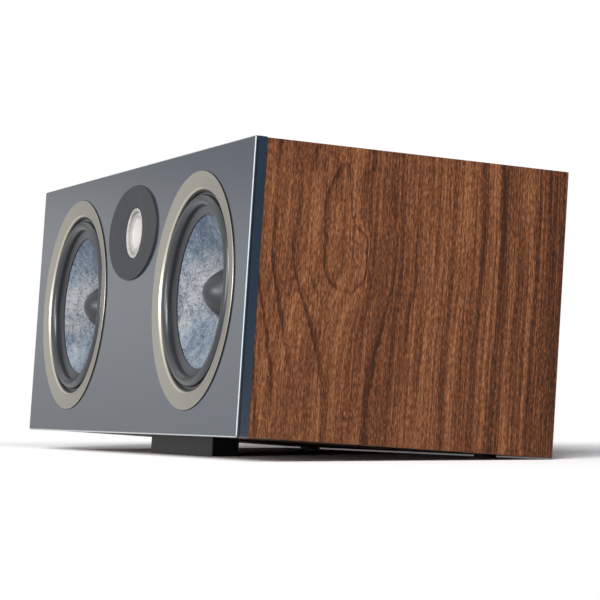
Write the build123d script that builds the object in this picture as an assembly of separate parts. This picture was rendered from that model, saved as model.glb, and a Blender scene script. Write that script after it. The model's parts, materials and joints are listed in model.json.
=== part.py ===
from build123d import *
import math
import os

# A two-way center channel speaker that leans back on one front foot.
# Every piece is drawn with the cabinet level: x to the right, y from the baffle's front face to the back,
# z up from the baffle's lower edge. The finished speaker is then leaned back onto its foot and pads.
# Sizes are in millimetres, and a "depth" is a distance along y behind the baffle's front face.

# Fits shared by several pieces
glue_gap = 0.1
seat_fit = 0.3
screw_fit = 0.1
thread_fit = 0.06
overcut = 1.0

# Cabinet
baffle_width = 552.0
baffle_height = 222.0
baffle_edge = 9.5
baffle_tongue = 12.5
baffle_overhang = 0.7
baffle_corner_radius = 2.0
baffle_arris_radius = 1.2
groove_start = 1.7
groove_width = 1.2
groove_depth = 1.0
cabinet_depth = 259.0
wall = 15.0
carcass_corner_radius = 0.8
back_thickness = 15.0
back_recess = 2.0
brace_clearance = 2.6
brace_thickness = 15.0
brace_rail = 20.0
brace_window_radius = 15.0
brace_rail_clearance = 11.6
wadding_thickness = 25.0
wadding_margin = 6.0

# Foot and rear pads
foot_width = 156.0
foot_length = 23.0
foot_middle = 65.5
foot_height = 14.6
foot_edge_radius = 1.0
foot_screw_spacing = 110.0
foot_screw_sink = 7.0
foot_screw_bite = 10.0
pad_radius = 9.0
pad_thickness = 2.0
pad_rear_margin = 13.0
pad_side_margin = 90.0

# Woofer front: trim ring, basket flange and surround
woofer_bay_start = 38.8
woofer_lift = 1.4
ring_outer_radius = 93.0
ring_width = 14.2
ring_thickness = 4.0
ring_proud = 1.2
ring_dish = 1.4
ring_bevel = 1.6
ring_edge = 0.5
flange_cover = 6.0
flange_thickness = 4.0
landing_reveal = 2.4
landing_width = 3.6
landing_depth = 5.4
lip_steps = 3
lip_step_width = 0.6
rubber = 1.0
roll_inset = 5.8
roll_radius = 3.9
roll_flange_width = 7.0

# Woofer cone and coil
cone_sheet = 1.2
cone_rim_depth = 6.9
cap_radius = 19.0
cap_seat_depth = 25.0
cap_rise = 15.6
cap_sheet = 1.0
neck_depth = 27.6
coil_inner_radius = 16.2
former_sheet = 0.5
winding_thickness = 0.9
winding_front = 50.0
winding_length = 14.0
former_tail = 2.0

# Woofer basket and motor
basket_wall = 2.5
barrel_taper = 2.3
barrel_depth = 24.0
spider_outer_radius = 50.0
spider_landing = 4.0
spider_depth = 37.5
spider_cloth = 0.8
spider_waves = 4
spider_swing = 1.0
basket_base_radius = 46.0
basket_base_hole = 22.0
basket_base_depth = 50.0
basket_base_thickness = 4.0
spoke_count = 6
spoke_width = 14.0
window_margin = 3.5
base_window_margin = 1.0
lug_width = 20.0
lug_reach = 62.0
lug_thickness = 4.0
top_plate_radius = 46.0
top_plate_thickness = 6.0
coil_gap = 0.9
pole_gap = 0.8
magnet_radius = 52.0
magnet_inner_radius = 25.0
magnet_thickness = 18.0
back_plate_thickness = 6.0
pole_vent_radius = 6.0
woofer_screw_count = 8
woofer_screw_inset = 4.2
woofer_screw_length = 16.0
screw_head_radius = 3.2
screw_head_height = 2.2
screw_shank_radius = 1.9

# Tweeter
tweeter_drop = 55.3
faceplate_half_width = 62.0
faceplate_half_height = 39.5
faceplate_proud = 1.8
faceplate_seat = 3.2
faceplate_edge = 0.7
dish_radius = 36.0
bezel_radius = 21.3
bezel_inner_radius = 18.4
bezel_front = 0.2
bezel_depth = 3.2
bezel_round = 1.0
boss_radius = 34.0
boss_inner_radius = 26.0
tweeter_plate_front = 6.5
tweeter_plate_thickness = 4.0
tweeter_rubber = 0.6
tweeter_roll_rise = 1.0
dome_radius = 13.0
dome_sink = 4.0
dome_sheet = 0.5
tweeter_coil_radius = 10.0
tweeter_coil_sheet = 0.6
tweeter_coil_end = 12.5
tweeter_coil_gap = 1.0
tweeter_pole_gap = 0.8
tweeter_pole_front = 9.2
tweeter_magnet_radius = 27.5
tweeter_magnet_inner_radius = 14.0
tweeter_magnet_thickness = 10.0
tweeter_back_thickness = 4.5
tweeter_screw_count = 4
tweeter_screw_circle = 30.8
tweeter_screw_head_radius = 2.2
tweeter_screw_head_height = 1.6
tweeter_screw_shank_radius = 1.2
tweeter_screw_bite = 2.6

# Terminal plate and binding posts
terminal_rise = 44.3
terminal_width = 90.0
terminal_tall = 60.0
terminal_thickness = 3.0
terminal_corner_radius = 6.0
terminal_opening_width = 62.0
terminal_opening_tall = 36.0
terminal_screw_inset = 8.0
terminal_screw_length = 14.0
post_spacing = 24.0
post_radius = 3.0
post_tail = 14.0
post_collar_radius = 7.0
post_collar_height = 3.0
socket_radius = 2.0
socket_length = 12.0
wire_hole_radius = 1.4
wire_hole_lift = 0.4
washer_radius = 6.6
washer_thickness = 1.2
knob_radius = 7.5
knob_length = 16.0
knob_edge = 0.8
knob_flutes = 12
flute_radius = 1.1
flute_margin = 3.0
flute_standoff = 0.4
nut_flats = 10.0
nut_thickness = 4.0

# Rear port
port_radius = 27.0
port_wall = 3.0
port_flare = 8.0
port_lip = 4.0
port_length = 112.0

# Crossover board and its parts
board_width = 100.0
board_length = 115.0
board_front = 90.0
board_thickness = 1.6
board_margin = 6.0
spacer_height = 6.0
spacer_radius = 4.0
board_screw_length = 16.0
large_coil_radius = 22.0
large_coil_inner_radius = 10.0
large_coil_height = 16.0
small_coil_radius = 16.0
small_coil_inner_radius = 8.0
small_coil_height = 12.0
coil_gap_on_board = 3.0
capacitor_radius = 8.0
capacitor_length = 34.0
capacitor_count = 3
capacitor_pitch = 19.0
resistor_size = 9.0
resistor_length = 22.0
resistor_count = 2

# Leads
lead_radius = 1.0
lead_bend = 10.0
lead_pitch = 8.0
lead_margin = 4.0
tweeter_lead_bend = 30.0

# Places worked out from the sizes above
cabinet_middle = baffle_height / 2
carcass_half_width = baffle_width / 2 - baffle_overhang
carcass_half_height = baffle_height / 2 - baffle_overhang
room_half_width = carcass_half_width - wall
room_half_height = carcass_half_height - wall
carcass_underside = cabinet_middle - carcass_half_height
room_floor = carcass_underside + wall
room_ceiling = room_floor + 2 * room_half_height
baffle_back = baffle_edge + baffle_tongue
back_rear = cabinet_depth - back_recess
back_front = back_rear - back_thickness
foot_floor = carcass_underside - foot_height
pad_middle = cabinet_depth - pad_rear_margin
pad_floor = carcass_underside - pad_thickness
lean = math.degrees(math.atan2(pad_floor - foot_floor, pad_middle - foot_middle))
woofer_offset = (woofer_bay_start + baffle_width / 2) / 2
woofer_height = cabinet_middle + woofer_lift
ring_inner_radius = ring_outer_radius - ring_width
ring_seat = ring_thickness - ring_proud
flange_radius = ring_outer_radius - flange_cover
flange_back = ring_seat + flange_thickness
woofer_screw_circle = flange_radius - woofer_screw_inset
landing_radius = ring_inner_radius - landing_reveal
roll_middle_radius = landing_radius - roll_inset
barrel_radius = landing_radius - landing_width
brace_offset = woofer_offset - barrel_radius - basket_wall - brace_clearance - brace_thickness / 2
cone_rim_radius = roll_middle_radius - roll_radius + rubber / 2
former_outer_radius = coil_inner_radius + former_sheet
winding_radius = former_outer_radius + winding_thickness
winding_back = winding_front + winding_length
neck_radius = former_outer_radius + glue_gap
top_plate_front = basket_base_depth + basket_base_thickness
magnet_front = top_plate_front + top_plate_thickness
back_plate_front = magnet_front + magnet_thickness
pole_radius = coil_inner_radius - pole_gap
tweeter_height = baffle_height - tweeter_drop
tweeter_magnet_front = tweeter_plate_front + tweeter_plate_thickness
tweeter_back_front = tweeter_magnet_front + tweeter_magnet_thickness
tweeter_back_rear = tweeter_back_front + tweeter_back_thickness
dome_rim_depth = bezel_depth + glue_gap
terminal_height = room_floor + terminal_rise
port_height = (terminal_height + terminal_tall / 2 + room_ceiling) / 2
collar_rear = back_rear + terminal_thickness + post_collar_height
washer_rear = collar_rear + washer_thickness
knob_rear = washer_rear + knob_length
post_inner_end = back_rear - post_tail
board_floor = room_floor + spacer_height
board_top = board_floor + board_thickness
board_rear = board_front + board_length
lead_row = board_front + board_margin + 2 * screw_head_radius + lead_pitch


def turned(outline):
    """Solid turned about the y axis from a closed outline of radius and depth."""
    return revolve(make_face(outline), Axis.Y)


def lathe(*points):
    """Turned solid whose outline is straight between (radius, depth) points."""
    return turned(Polyline(*points, close=True))


def ring(inner_radius, outer_radius, front, back):
    """Turned ring, or a disc where the inner radius is 0."""
    return lathe((inner_radius, front), (outer_radius, front), (outer_radius, back), (inner_radius, back))


def block(x_limits, y_limits, z_limits):
    """Box between two limits along each axis."""
    limits = (x_limits, y_limits, z_limits)
    middle = [(low + high) / 2 for low, high in limits]
    return Pos(*middle) * Box(*[high - low for low, high in limits])


def plate(outline, front, back):
    """Plate with an outline drawn as seen from the front, between two depths."""
    return extrude(Plane.XZ.offset(-front) * outline, amount=back - front, dir=(0, 1, 0))


def post(radius, low, high):
    """Upright round post between two heights."""
    return Pos(0, 0, (low + high) / 2) * Cylinder(radius, high - low)


def on_circle(count, radius, shape):
    """Copies of a shape spread evenly on a circle about the y axis."""
    return [Rot(0, turn * 360 / count, 0) * Pos(radius, 0, 0) * shape for turn in range(count)]


def at_woofer_screws(shape):
    """Copies of a shape at one woofer's screws, turned half a step so that none is at the very top."""
    half_step = Rot(0, 180 / woofer_screw_count, 0)
    return [half_step * one for one in on_circle(woofer_screw_count, woofer_screw_circle, shape)]


def screw(head_radius, head_height, shank_radius, length):
    """Screw along y with the top of its head at depth 0."""
    head = ring(0, head_radius, 0, head_height)
    return head + ring(0, shank_radius, head_height, length)


def wood_screw(length):
    """Screw of the size used all over the cabinet."""
    return screw(screw_head_radius, screw_head_height, screw_shank_radius, length)


def pilot_hole(depth):
    """Hole that a wood screw's shank goes into."""
    return ring(0, screw_shank_radius + screw_fit, 0, depth)


def lead(points, bend):
    """Insulated wire along straight runs joined by arcs."""
    path = FilletPolyline(*points, radius=bend)
    return sweep(Plane(origin=path @ 0, z_dir=path % 0) * Circle(lead_radius), path=path)


# Places of what is repeated
woofer_places = {
    "left": Pos(-woofer_offset, 0, woofer_height) * Rot(0, 180, 0),
    "right": Pos(woofer_offset, 0, woofer_height),
}
tweeter_place = Pos(0, 0, tweeter_height)
terminal_place = Pos(0, 0, terminal_height)
post_places = {
    "red": Pos(post_spacing / 2, 0, terminal_height),
    "black": Pos(-post_spacing / 2, 0, terminal_height),
}
terminal_screw_places = [
    Pos(
        side * (terminal_width / 2 - terminal_screw_inset),
        back_rear + terminal_thickness + screw_head_height,
        terminal_height + level * (terminal_tall / 2 - terminal_screw_inset),
    )
    * Rot(0, 0, 180)
    for side in (-1, 1)
    for level in (-1, 1)
]
foot_screw_places = [
    Pos(side * foot_screw_spacing / 2, foot_middle, foot_floor + foot_screw_sink) * Rot(90, 0, 0)
    for side in (-1, 1)
]
foot_screw_length = foot_height - foot_screw_sink + foot_screw_bite
board_screw_places = [
    Pos(
        side * (board_width / 2 - board_margin),
        end,
        board_top + screw_head_height,
    )
    * Rot(-90, 0, 0)
    for side in (-1, 1)
    for end in (board_front + board_margin, board_rear - board_margin)
]
pad_places = [
    Pos(side * (carcass_half_width - pad_side_margin), pad_middle, carcass_underside) for side in (-1, 1)
]
# Everything below the surface that the speaker stands on
ground = Pos(0, foot_middle, foot_floor) * Rot(lean, 0, 0) * block(
    (-baffle_width, baffle_width), (-cabinet_depth, cabinet_depth), (-foot_height * 2, 0)
)


def front_baffle():
    """Lacquered board with an edge groove, stepped woofer seats and an oval tweeter seat."""
    face = RectangleRounded(baffle_width, baffle_height, baffle_corner_radius)
    board = plate(face, 0, baffle_edge)
    board = fillet(board.faces().sort_by(Axis.Y)[0].edges(), baffle_arris_radius)
    groove = plate(
        RectangleRounded(baffle_width * 2, baffle_height * 2, baffle_corner_radius)
        - RectangleRounded(
            baffle_width - 2 * groove_depth, baffle_height - 2 * groove_depth, baffle_corner_radius
        ),
        groove_start,
        groove_start + groove_width,
    )
    tongue = plate(
        Rectangle(2 * (room_half_width - glue_gap), 2 * (room_half_height - glue_gap)),
        baffle_edge,
        baffle_back,
    )
    board = Pos(0, 0, cabinet_middle) * (board - groove + tongue)
    woofer_seat = (
        ring(0, ring_outer_radius + seat_fit, -overcut, ring_seat)
        + ring(0, flange_radius + seat_fit, 0, flange_back)
        + ring(0, landing_radius + seat_fit, 0, baffle_back + overcut)
    )
    woofer_seat += at_woofer_screws(pilot_hole(ring_seat + woofer_screw_length + screw_fit))
    tweeter_seat = plate(
        Ellipse(faceplate_half_width + seat_fit, faceplate_half_height + seat_fit),
        -faceplate_proud,
        faceplate_seat,
    ) + ring(0, boss_radius + seat_fit, 0, baffle_back + overcut)
    for place in woofer_places.values():
        board -= place * woofer_seat
    return board - tweeter_place * tweeter_seat


def carcass_panels():
    """Veneered top, bottom and side panels, mitred where they meet."""
    shell = plate(
        RectangleRounded(2 * carcass_half_width, 2 * carcass_half_height, carcass_corner_radius)
        - Rectangle(2 * room_half_width, 2 * room_half_height),
        baffle_edge,
        cabinet_depth,
    )
    outer = (carcass_half_width, carcass_half_height)
    inner = (room_half_width, room_half_height)
    side = Polyline(
        outer, inner, (inner[0], -inner[1]), (outer[0], -outer[1]), close=True
    )
    lid = Polyline(
        outer, inner, (-inner[0], inner[1]), (-outer[0], outer[1]), close=True
    )
    right = shell & plate(make_face(side), baffle_edge, cabinet_depth)
    top = shell & plate(make_face(lid), baffle_edge, cabinet_depth)
    lift = Pos(0, 0, cabinet_middle)
    bottom = lift * mirror(top, Plane.XY)
    for place in foot_screw_places:
        bottom -= place * pilot_hole(foot_screw_length + screw_fit)
    for place in board_screw_places:
        bottom -= place * pilot_hole(board_screw_length + screw_fit)
    return {
        "top_panel": lift * top,
        "bottom_panel": bottom,
        "left_side_panel": lift * mirror(right, Plane.YZ),
        "right_side_panel": lift * right,
    }


def back_panel():
    """Panel set into the rear of the carcass, open for the port and the terminals."""
    panel = Pos(0, 0, cabinet_middle) * plate(
        Rectangle(2 * (room_half_width - glue_gap), 2 * (room_half_height - glue_gap)), back_front, back_rear
    )
    front = back_front - overcut
    rear = back_rear + overcut
    panel -= Pos(0, 0, port_height) * ring(0, port_radius + port_flare + seat_fit, front, rear)
    panel -= terminal_place * plate(
        RectangleRounded(terminal_opening_width, terminal_opening_tall, terminal_corner_radius), front, rear
    )
    for place in terminal_screw_places:
        panel -= place * pilot_hole(terminal_screw_length + screw_fit)
    return panel


def braces():
    """Two upright braces between the baffle and the back, with a rail between their windows."""
    front = baffle_back + glue_gap
    rear = back_front - glue_gap
    height = 2 * (room_half_height - glue_gap)
    rail = lead_row + brace_rail_clearance
    outline = Pos((front + rear) / 2, 0) * Rectangle(rear - front, height)
    for start, end in ((front + brace_rail, rail), (rail + brace_rail, rear - brace_rail)):
        window = RectangleRounded(end - start, height - 2 * brace_rail, brace_window_radius)
        outline -= Pos((start + end) / 2, 0) * window
    brace = extrude(Plane.YZ * outline, amount=brace_thickness / 2, both=True)
    return [Pos(side * brace_offset, 0, cabinet_middle) * brace for side in (-1, 1)]


def wadding():
    """Soft pads on the back panel, one behind each woofer."""
    near = brace_offset + brace_thickness / 2 + wadding_margin
    far = room_half_width - wadding_margin
    rear = back_front - glue_gap
    half_height = room_half_height - wadding_margin
    pad = block(
        (near, far),
        (rear - wadding_thickness, rear),
        (cabinet_middle - half_height, cabinet_middle + half_height),
    )
    return [pad, mirror(pad, Plane.YZ)]


def front_foot():
    """Bar under the cabinet whose underside lies flat on the ground."""
    foot = block(
        (-foot_width / 2, foot_width / 2),
        (foot_middle - foot_length / 2, foot_middle + foot_length / 2),
        (foot_floor - foot_height, carcass_underside),
    )
    foot = fillet(foot.edges().filter_by(Axis.Z), foot_edge_radius)
    for place in foot_screw_places:
        foot -= place * pilot_hole(foot_height)
        foot -= place * ring(0, screw_head_radius + seat_fit, -foot_height * 2, screw_head_height)
    return foot - ground


def rear_pads():
    """Two round pads that the lean brings level with the foot."""
    pad = post(pad_radius, -2 * pad_thickness, 0)
    return [place * pad - ground for place in pad_places]


def cone_front(radius):
    """Depth of the cone's front face between the rim and the dust cap."""
    slope = (cap_seat_depth - cone_rim_depth) / (cone_rim_radius - cap_radius)
    return cone_rim_depth + (cone_rim_radius - radius) * slope


def trim_ring():
    """Dished ring with a bevel on its inner edge, seated in the baffle over the basket's flange."""
    dish_edge = ring_dish - ring_proud
    return lathe(
        (ring_outer_radius, ring_seat),
        (ring_outer_radius, ring_edge - ring_proud),
        (ring_outer_radius - ring_edge, -ring_proud),
        (ring_inner_radius + ring_bevel, dish_edge),
        (ring_inner_radius, dish_edge + ring_bevel),
        (ring_inner_radius, ring_seat),
    )


def basket():
    """Cast frame: stepped flange, tapering barrel with spokes, spider shelf and motor base."""
    drop = (landing_depth - ring_seat) / lip_steps
    lip = []
    for step in range(lip_steps):
        edge = landing_radius + (lip_steps - 1 - step) * lip_step_width
        lip += [(edge, ring_seat + step * drop), (edge, ring_seat + (step + 1) * drop)]
    barrel_end = barrel_radius - barrel_taper
    shelf_inner = spider_outer_radius - spider_landing
    shelf_back = spider_depth + basket_wall
    inside = [
        (barrel_radius, landing_depth),
        (barrel_end, barrel_depth),
        (spider_outer_radius + seat_fit, spider_depth),
        (shelf_inner, spider_depth),
        (basket_base_radius - basket_wall, basket_base_depth),
        (basket_base_hole, basket_base_depth),
    ]
    outside = [
        (basket_base_hole, top_plate_front),
        (basket_base_radius, top_plate_front),
        (spider_outer_radius + basket_wall, shelf_back),
        (barrel_end + basket_wall, barrel_depth + basket_wall / 2),
        (barrel_radius + basket_wall, flange_back),
        (flange_radius, flange_back),
    ]
    frame = lathe((flange_radius, ring_seat), *lip, *inside, *outside)
    window_spans = (
        (flange_back + window_margin, spider_depth - window_margin),
        (shelf_back + base_window_margin, basket_base_depth - base_window_margin),
    )
    windows = Part() + [ring(basket_base_hole, flange_radius, *span) for span in window_spans]
    spoke = block(
        (0, flange_radius), (0, top_plate_front), (-spoke_width / 2, spoke_width / 2)
    )
    windows -= on_circle(spoke_count, 0, spoke)
    frame -= windows
    lug = block(
        (-lug_reach, -spider_outer_radius - basket_wall / 2),
        (shelf_back - lug_thickness, shelf_back),
        (-lug_width / 2, lug_width / 2),
    )
    hole = pilot_hole(flange_back + overcut)
    sink = ring(0, screw_head_radius + screw_fit, 0, ring_seat + screw_head_height)
    frame -= at_woofer_screws(hole + sink)
    return frame + lug


def woofer_surround():
    """Rubber half roll between the basket's landing and the cone's rim."""
    back = landing_depth - glue_gap
    base = back - rubber
    crest = roll_radius + rubber / 2
    hollow = roll_radius - rubber / 2
    outer = landing_radius - glue_gap
    skirt = roll_middle_radius - crest
    lip = cone_rim_radius - roll_flange_width
    with BuildLine() as outline:
        Polyline((outer, back), (outer, base), (roll_middle_radius + crest, base))
        ThreePointArc(
            (roll_middle_radius + crest, base), (roll_middle_radius, base - crest), (skirt, base)
        )
        Polyline(
            (skirt, base),
            (skirt, cone_front(skirt) - glue_gap - rubber),
            (lip, cone_front(lip) - glue_gap - rubber),
            (lip, cone_front(lip) - glue_gap),
            (cone_rim_radius, cone_rim_depth - glue_gap),
            (cone_rim_radius, base),
        )
        ThreePointArc(
            (cone_rim_radius, base), (roll_middle_radius, base - hollow), (roll_middle_radius + hollow, base)
        )
        Polyline((roll_middle_radius + hollow, base), (roll_middle_radius + hollow, back), (outer, back))
    return turned(outline.line)


def woofer_cone():
    """Shallow cone with a steeper neck that is glued round the coil's former."""
    front = [(cone_rim_radius, cone_rim_depth), (cap_radius, cap_seat_depth), (neck_radius, neck_depth)]
    back = [(radius, depth + cone_sheet) for radius, depth in reversed(front)]
    return lathe(*front, *back)


def dust_cap():
    """Thin bullet-shaped cap over the middle of the cone."""
    base = cap_seat_depth - glue_gap
    apex = base - cap_rise
    inner = cap_radius - cap_sheet
    with BuildLine() as outline:
        Bezier((0, apex), (cap_radius / 2, apex), (cap_radius, base))
        Line((cap_radius, base), (inner, base))
        Bezier((0, apex + cap_sheet), (inner / 2, apex + cap_sheet), (inner, base))
        Line((0, apex + cap_sheet), (0, apex))
    return turned(outline.line)


def spider():
    """Corrugated cloth disc that centres the coil."""
    back = spider_depth - glue_gap
    outer = spider_outer_radius
    last = outer - spider_landing
    half_wave = (last - neck_radius) / (2 * spider_waves)
    with BuildLine() as outline:
        for depth in (back - spider_cloth, back):
            for half in range(2 * spider_waves):
                start = neck_radius + half * half_wave
                swing = spider_swing if half % 2 else -spider_swing
                ThreePointArc(
                    (start, depth), (start + half_wave / 2, depth + swing), (start + half_wave, depth)
                )
        Line((neck_radius, back - spider_cloth), (neck_radius, back))
        Polyline((last, back - spider_cloth), (outer, back - spider_cloth), (outer, back), (last, back))
    return turned(outline.line)


def voice_coil():
    """Former tube with its winding in the magnet's gap."""
    return lathe(
        (coil_inner_radius, neck_depth - cone_sheet),
        (former_outer_radius, neck_depth - cone_sheet),
        (former_outer_radius, winding_front),
        (winding_radius, winding_front),
        (winding_radius, winding_back),
        (former_outer_radius, winding_back),
        (former_outer_radius, winding_back + former_tail),
        (coil_inner_radius, winding_back + former_tail),
    )


def woofer_pieces():
    """The pieces of one woofer, drawn about the y axis."""
    return {
        "trim_ring": trim_ring(),
        "basket": basket(),
        "surround": woofer_surround(),
        "cone": woofer_cone(),
        "dust_cap": dust_cap(),
        "spider": spider(),
        "voice_coil": voice_coil(),
        "top_plate": ring(winding_radius + coil_gap, top_plate_radius, top_plate_front, magnet_front),
        "magnet": ring(magnet_inner_radius, magnet_radius, magnet_front, back_plate_front),
        "back_plate": lathe(
            (pole_vent_radius, top_plate_front),
            (pole_radius, top_plate_front),
            (pole_radius, back_plate_front),
            (top_plate_radius, back_plate_front),
            (top_plate_radius, back_plate_front + back_plate_thickness),
            (pole_vent_radius, back_plate_front + back_plate_thickness),
        ),
    }


def woofer_screws():
    """Screws that hold both baskets, hidden under the trim rings."""
    sunk = Pos(0, ring_seat, 0) * wood_screw(woofer_screw_length)
    return [place * one for place in woofer_places.values() for one in at_woofer_screws(sunk)]


def faceplate():
    """Oval plate, dished round the dome, with a boss at its back for the motor."""
    oval = plate(Ellipse(faceplate_half_width, faceplate_half_height), -faceplate_proud, faceplate_seat)
    oval = fillet(oval.faces().sort_by(Axis.Y)[0].edges(), faceplate_edge)
    opening = bezel_radius + glue_gap
    dish = lathe(
        (0, -faceplate_proud), (dish_radius, -faceplate_proud), (opening, bezel_front), (0, bezel_front)
    )
    boss = ring(boss_inner_radius, boss_radius, faceplate_seat, tweeter_plate_front - glue_gap)
    screw_hole = ring(
        0,
        tweeter_screw_shank_radius + screw_fit,
        tweeter_plate_front - tweeter_screw_bite - screw_fit,
        tweeter_plate_front,
    )
    oval = oval - dish - ring(0, opening, bezel_front - overcut, faceplate_seat + overcut) + boss
    return oval - on_circle(tweeter_screw_count, tweeter_screw_circle, screw_hole)


def bezel():
    """Bright rounded ring round the dome."""
    middle = (bezel_inner_radius + bezel_radius) / 2
    with BuildLine() as outline:
        ThreePointArc(
            (bezel_inner_radius, bezel_front + bezel_round),
            (middle, bezel_front),
            (bezel_radius, bezel_front + bezel_round),
        )
        Polyline(
            (bezel_radius, bezel_front + bezel_round),
            (bezel_radius, bezel_depth),
            (bezel_inner_radius, bezel_depth),
            (bezel_inner_radius, bezel_front + bezel_round),
        )
    return turned(outline.line)


def tweeter_surround():
    """Soft ring between the bezel and the dome."""
    front = dome_rim_depth
    back = front + tweeter_rubber
    inner = dome_radius + glue_gap
    middle = (inner + bezel_inner_radius) / 2
    with BuildLine() as outline:
        Polyline(
            (bezel_inner_radius, front),
            (bezel_radius, front),
            (bezel_radius, back),
            (bezel_inner_radius, back),
        )
        for depth in (front, back):
            ThreePointArc(
                (bezel_inner_radius, depth), (middle, depth - tweeter_roll_rise), (inner, depth)
            )
        Line((inner, front), (inner, back))
    return turned(outline.line)


def dome_depth(radius):
    """Depth of the inverted dome's front face."""
    sphere = (dome_radius**2 + dome_sink**2) / (2 * dome_sink)
    return dome_rim_depth + dome_sink - sphere + math.sqrt(sphere**2 - radius**2)


def dome():
    """Thin inverted dome, deepest at its middle."""
    apex = dome_rim_depth + dome_sink
    with BuildLine() as outline:
        for sheet in (0, dome_sheet):
            TangentArc((0, apex + sheet), (dome_radius, dome_rim_depth + sheet), tangent=(1, 0))
        Line((0, apex), (0, apex + dome_sheet))
        Line((dome_radius, dome_rim_depth), (dome_radius, dome_rim_depth + dome_sheet))
    return turned(outline.line)


def tweeter_pieces():
    """The pieces of the tweeter, drawn about the y axis."""
    coil_outer = tweeter_coil_radius + tweeter_coil_sheet
    coil_front = dome_depth(tweeter_coil_radius) + dome_sheet + glue_gap
    pole = tweeter_coil_radius - tweeter_pole_gap
    rim_front = dome_rim_depth + tweeter_rubber + glue_gap
    rim_inner = bezel_inner_radius
    top_plate = ring(coil_outer + tweeter_coil_gap, boss_radius, tweeter_plate_front, tweeter_magnet_front)
    top_plate += ring(rim_inner, bezel_radius, rim_front, tweeter_plate_front)
    hole = ring(0, tweeter_screw_shank_radius + screw_fit, 0, tweeter_magnet_front + overcut)
    top_plate -= on_circle(tweeter_screw_count, tweeter_screw_circle, hole)
    length = tweeter_screw_head_height + tweeter_plate_thickness + tweeter_screw_bite
    fixing = screw(tweeter_screw_head_radius, tweeter_screw_head_height, tweeter_screw_shank_radius, length)
    fixing = Pos(0, tweeter_magnet_front + tweeter_screw_head_height, 0) * Rot(0, 0, 180) * fixing
    return {
        "tweeter_faceplate": faceplate(),
        "tweeter_bezel": bezel(),
        "tweeter_surround": tweeter_surround(),
        "tweeter_dome": dome(),
        "tweeter_voice_coil": ring(tweeter_coil_radius, coil_outer, coil_front, tweeter_coil_end),
        "tweeter_top_plate": top_plate,
        "tweeter_magnet": ring(
            tweeter_magnet_inner_radius, tweeter_magnet_radius, tweeter_magnet_front, tweeter_back_front
        ),
        "tweeter_back_plate": lathe(
            (0, tweeter_pole_front),
            (pole, tweeter_pole_front),
            (pole, tweeter_back_front),
            (tweeter_magnet_radius, tweeter_back_front),
            (tweeter_magnet_radius, tweeter_back_rear),
            (0, tweeter_back_rear),
        ),
        "tweeter_screws": on_circle(tweeter_screw_count, tweeter_screw_circle, fixing),
    }


def terminal_plate():
    """Plate on the back that carries the binding posts."""
    panel = terminal_place * plate(
        RectangleRounded(terminal_width, terminal_tall, terminal_corner_radius),
        back_rear,
        back_rear + terminal_thickness,
    )
    for place in post_places.values():
        panel -= place * ring(0, post_radius + seat_fit, back_rear - overcut, collar_rear)
    for place in terminal_screw_places:
        panel -= place * pilot_hole(terminal_screw_length)
    return panel


def binding_post():
    """Threaded stud with a collar, a cross hole for bare wire and a socket in its end."""
    stud = ring(0, post_radius, post_inner_end, knob_rear)
    stud += ring(0, post_collar_radius, collar_rear - post_collar_height, collar_rear)
    stud -= ring(0, socket_radius, knob_rear - socket_length, knob_rear + overcut)
    hole_depth = collar_rear + wire_hole_lift + wire_hole_radius
    wire_hole = Pos(0, hole_depth, 0) * Cylinder(wire_hole_radius, 3 * post_radius)
    return stud - wire_hole


def knob():
    """Fluted clamping knob, open at its end for a plug."""
    bore = post_radius + thread_fit
    grip = lathe(
        (bore, washer_rear),
        (knob_radius - knob_edge, washer_rear),
        (knob_radius, washer_rear + knob_edge),
        (knob_radius, knob_rear - knob_edge),
        (knob_radius - knob_edge, knob_rear),
        (bore, knob_rear),
    )
    flute = Rot(90, 0, 0) * Cylinder(flute_radius, knob_length - 2 * flute_margin)
    flute = Pos(0, (washer_rear + knob_rear) / 2, 0) * flute
    return grip - on_circle(knob_flutes, knob_radius + flute_standoff, flute)


def terminal_pieces():
    """Terminal plate, posts, washers, knobs and their fixings."""
    pieces = {"terminal_plate": terminal_plate()}
    washer = ring(post_radius + thread_fit, washer_radius, collar_rear, washer_rear)
    for colour, place in post_places.items():
        pieces[f"{colour}_post"] = place * binding_post()
        pieces[f"{colour}_washer"] = place * washer
        pieces[f"{colour}_knob"] = place * knob()
    nut = plate(RegularPolygon(nut_flats / 2, 6, major_radius=False), back_rear - nut_thickness, back_rear)
    nut -= ring(0, post_radius + thread_fit, back_rear - nut_thickness, back_rear)
    pieces["post_nuts"] = [place * nut for place in post_places.values()]
    fixing = wood_screw(terminal_screw_length)
    pieces["terminal_screws"] = [place * fixing for place in terminal_screw_places]
    return pieces


def port_tube():
    """Flared tube through the back panel."""
    mouth = port_radius + port_flare
    collar = mouth
    inner_end = cabinet_depth - port_length
    with BuildLine() as outline:
        RadiusArc((mouth, cabinet_depth), (port_radius, cabinet_depth - port_flare), port_flare)
        Polyline(
            (port_radius, cabinet_depth - port_flare),
            (port_radius, inner_end),
            (port_radius + port_wall, inner_end),
            (port_radius + port_wall, back_front),
            (collar, back_front),
            (collar, back_rear),
            (mouth + port_lip, back_rear),
            (mouth + port_lip, cabinet_depth),
            (mouth, cabinet_depth),
        )
    return Pos(0, 0, port_height) * turned(outline.line)


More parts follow.
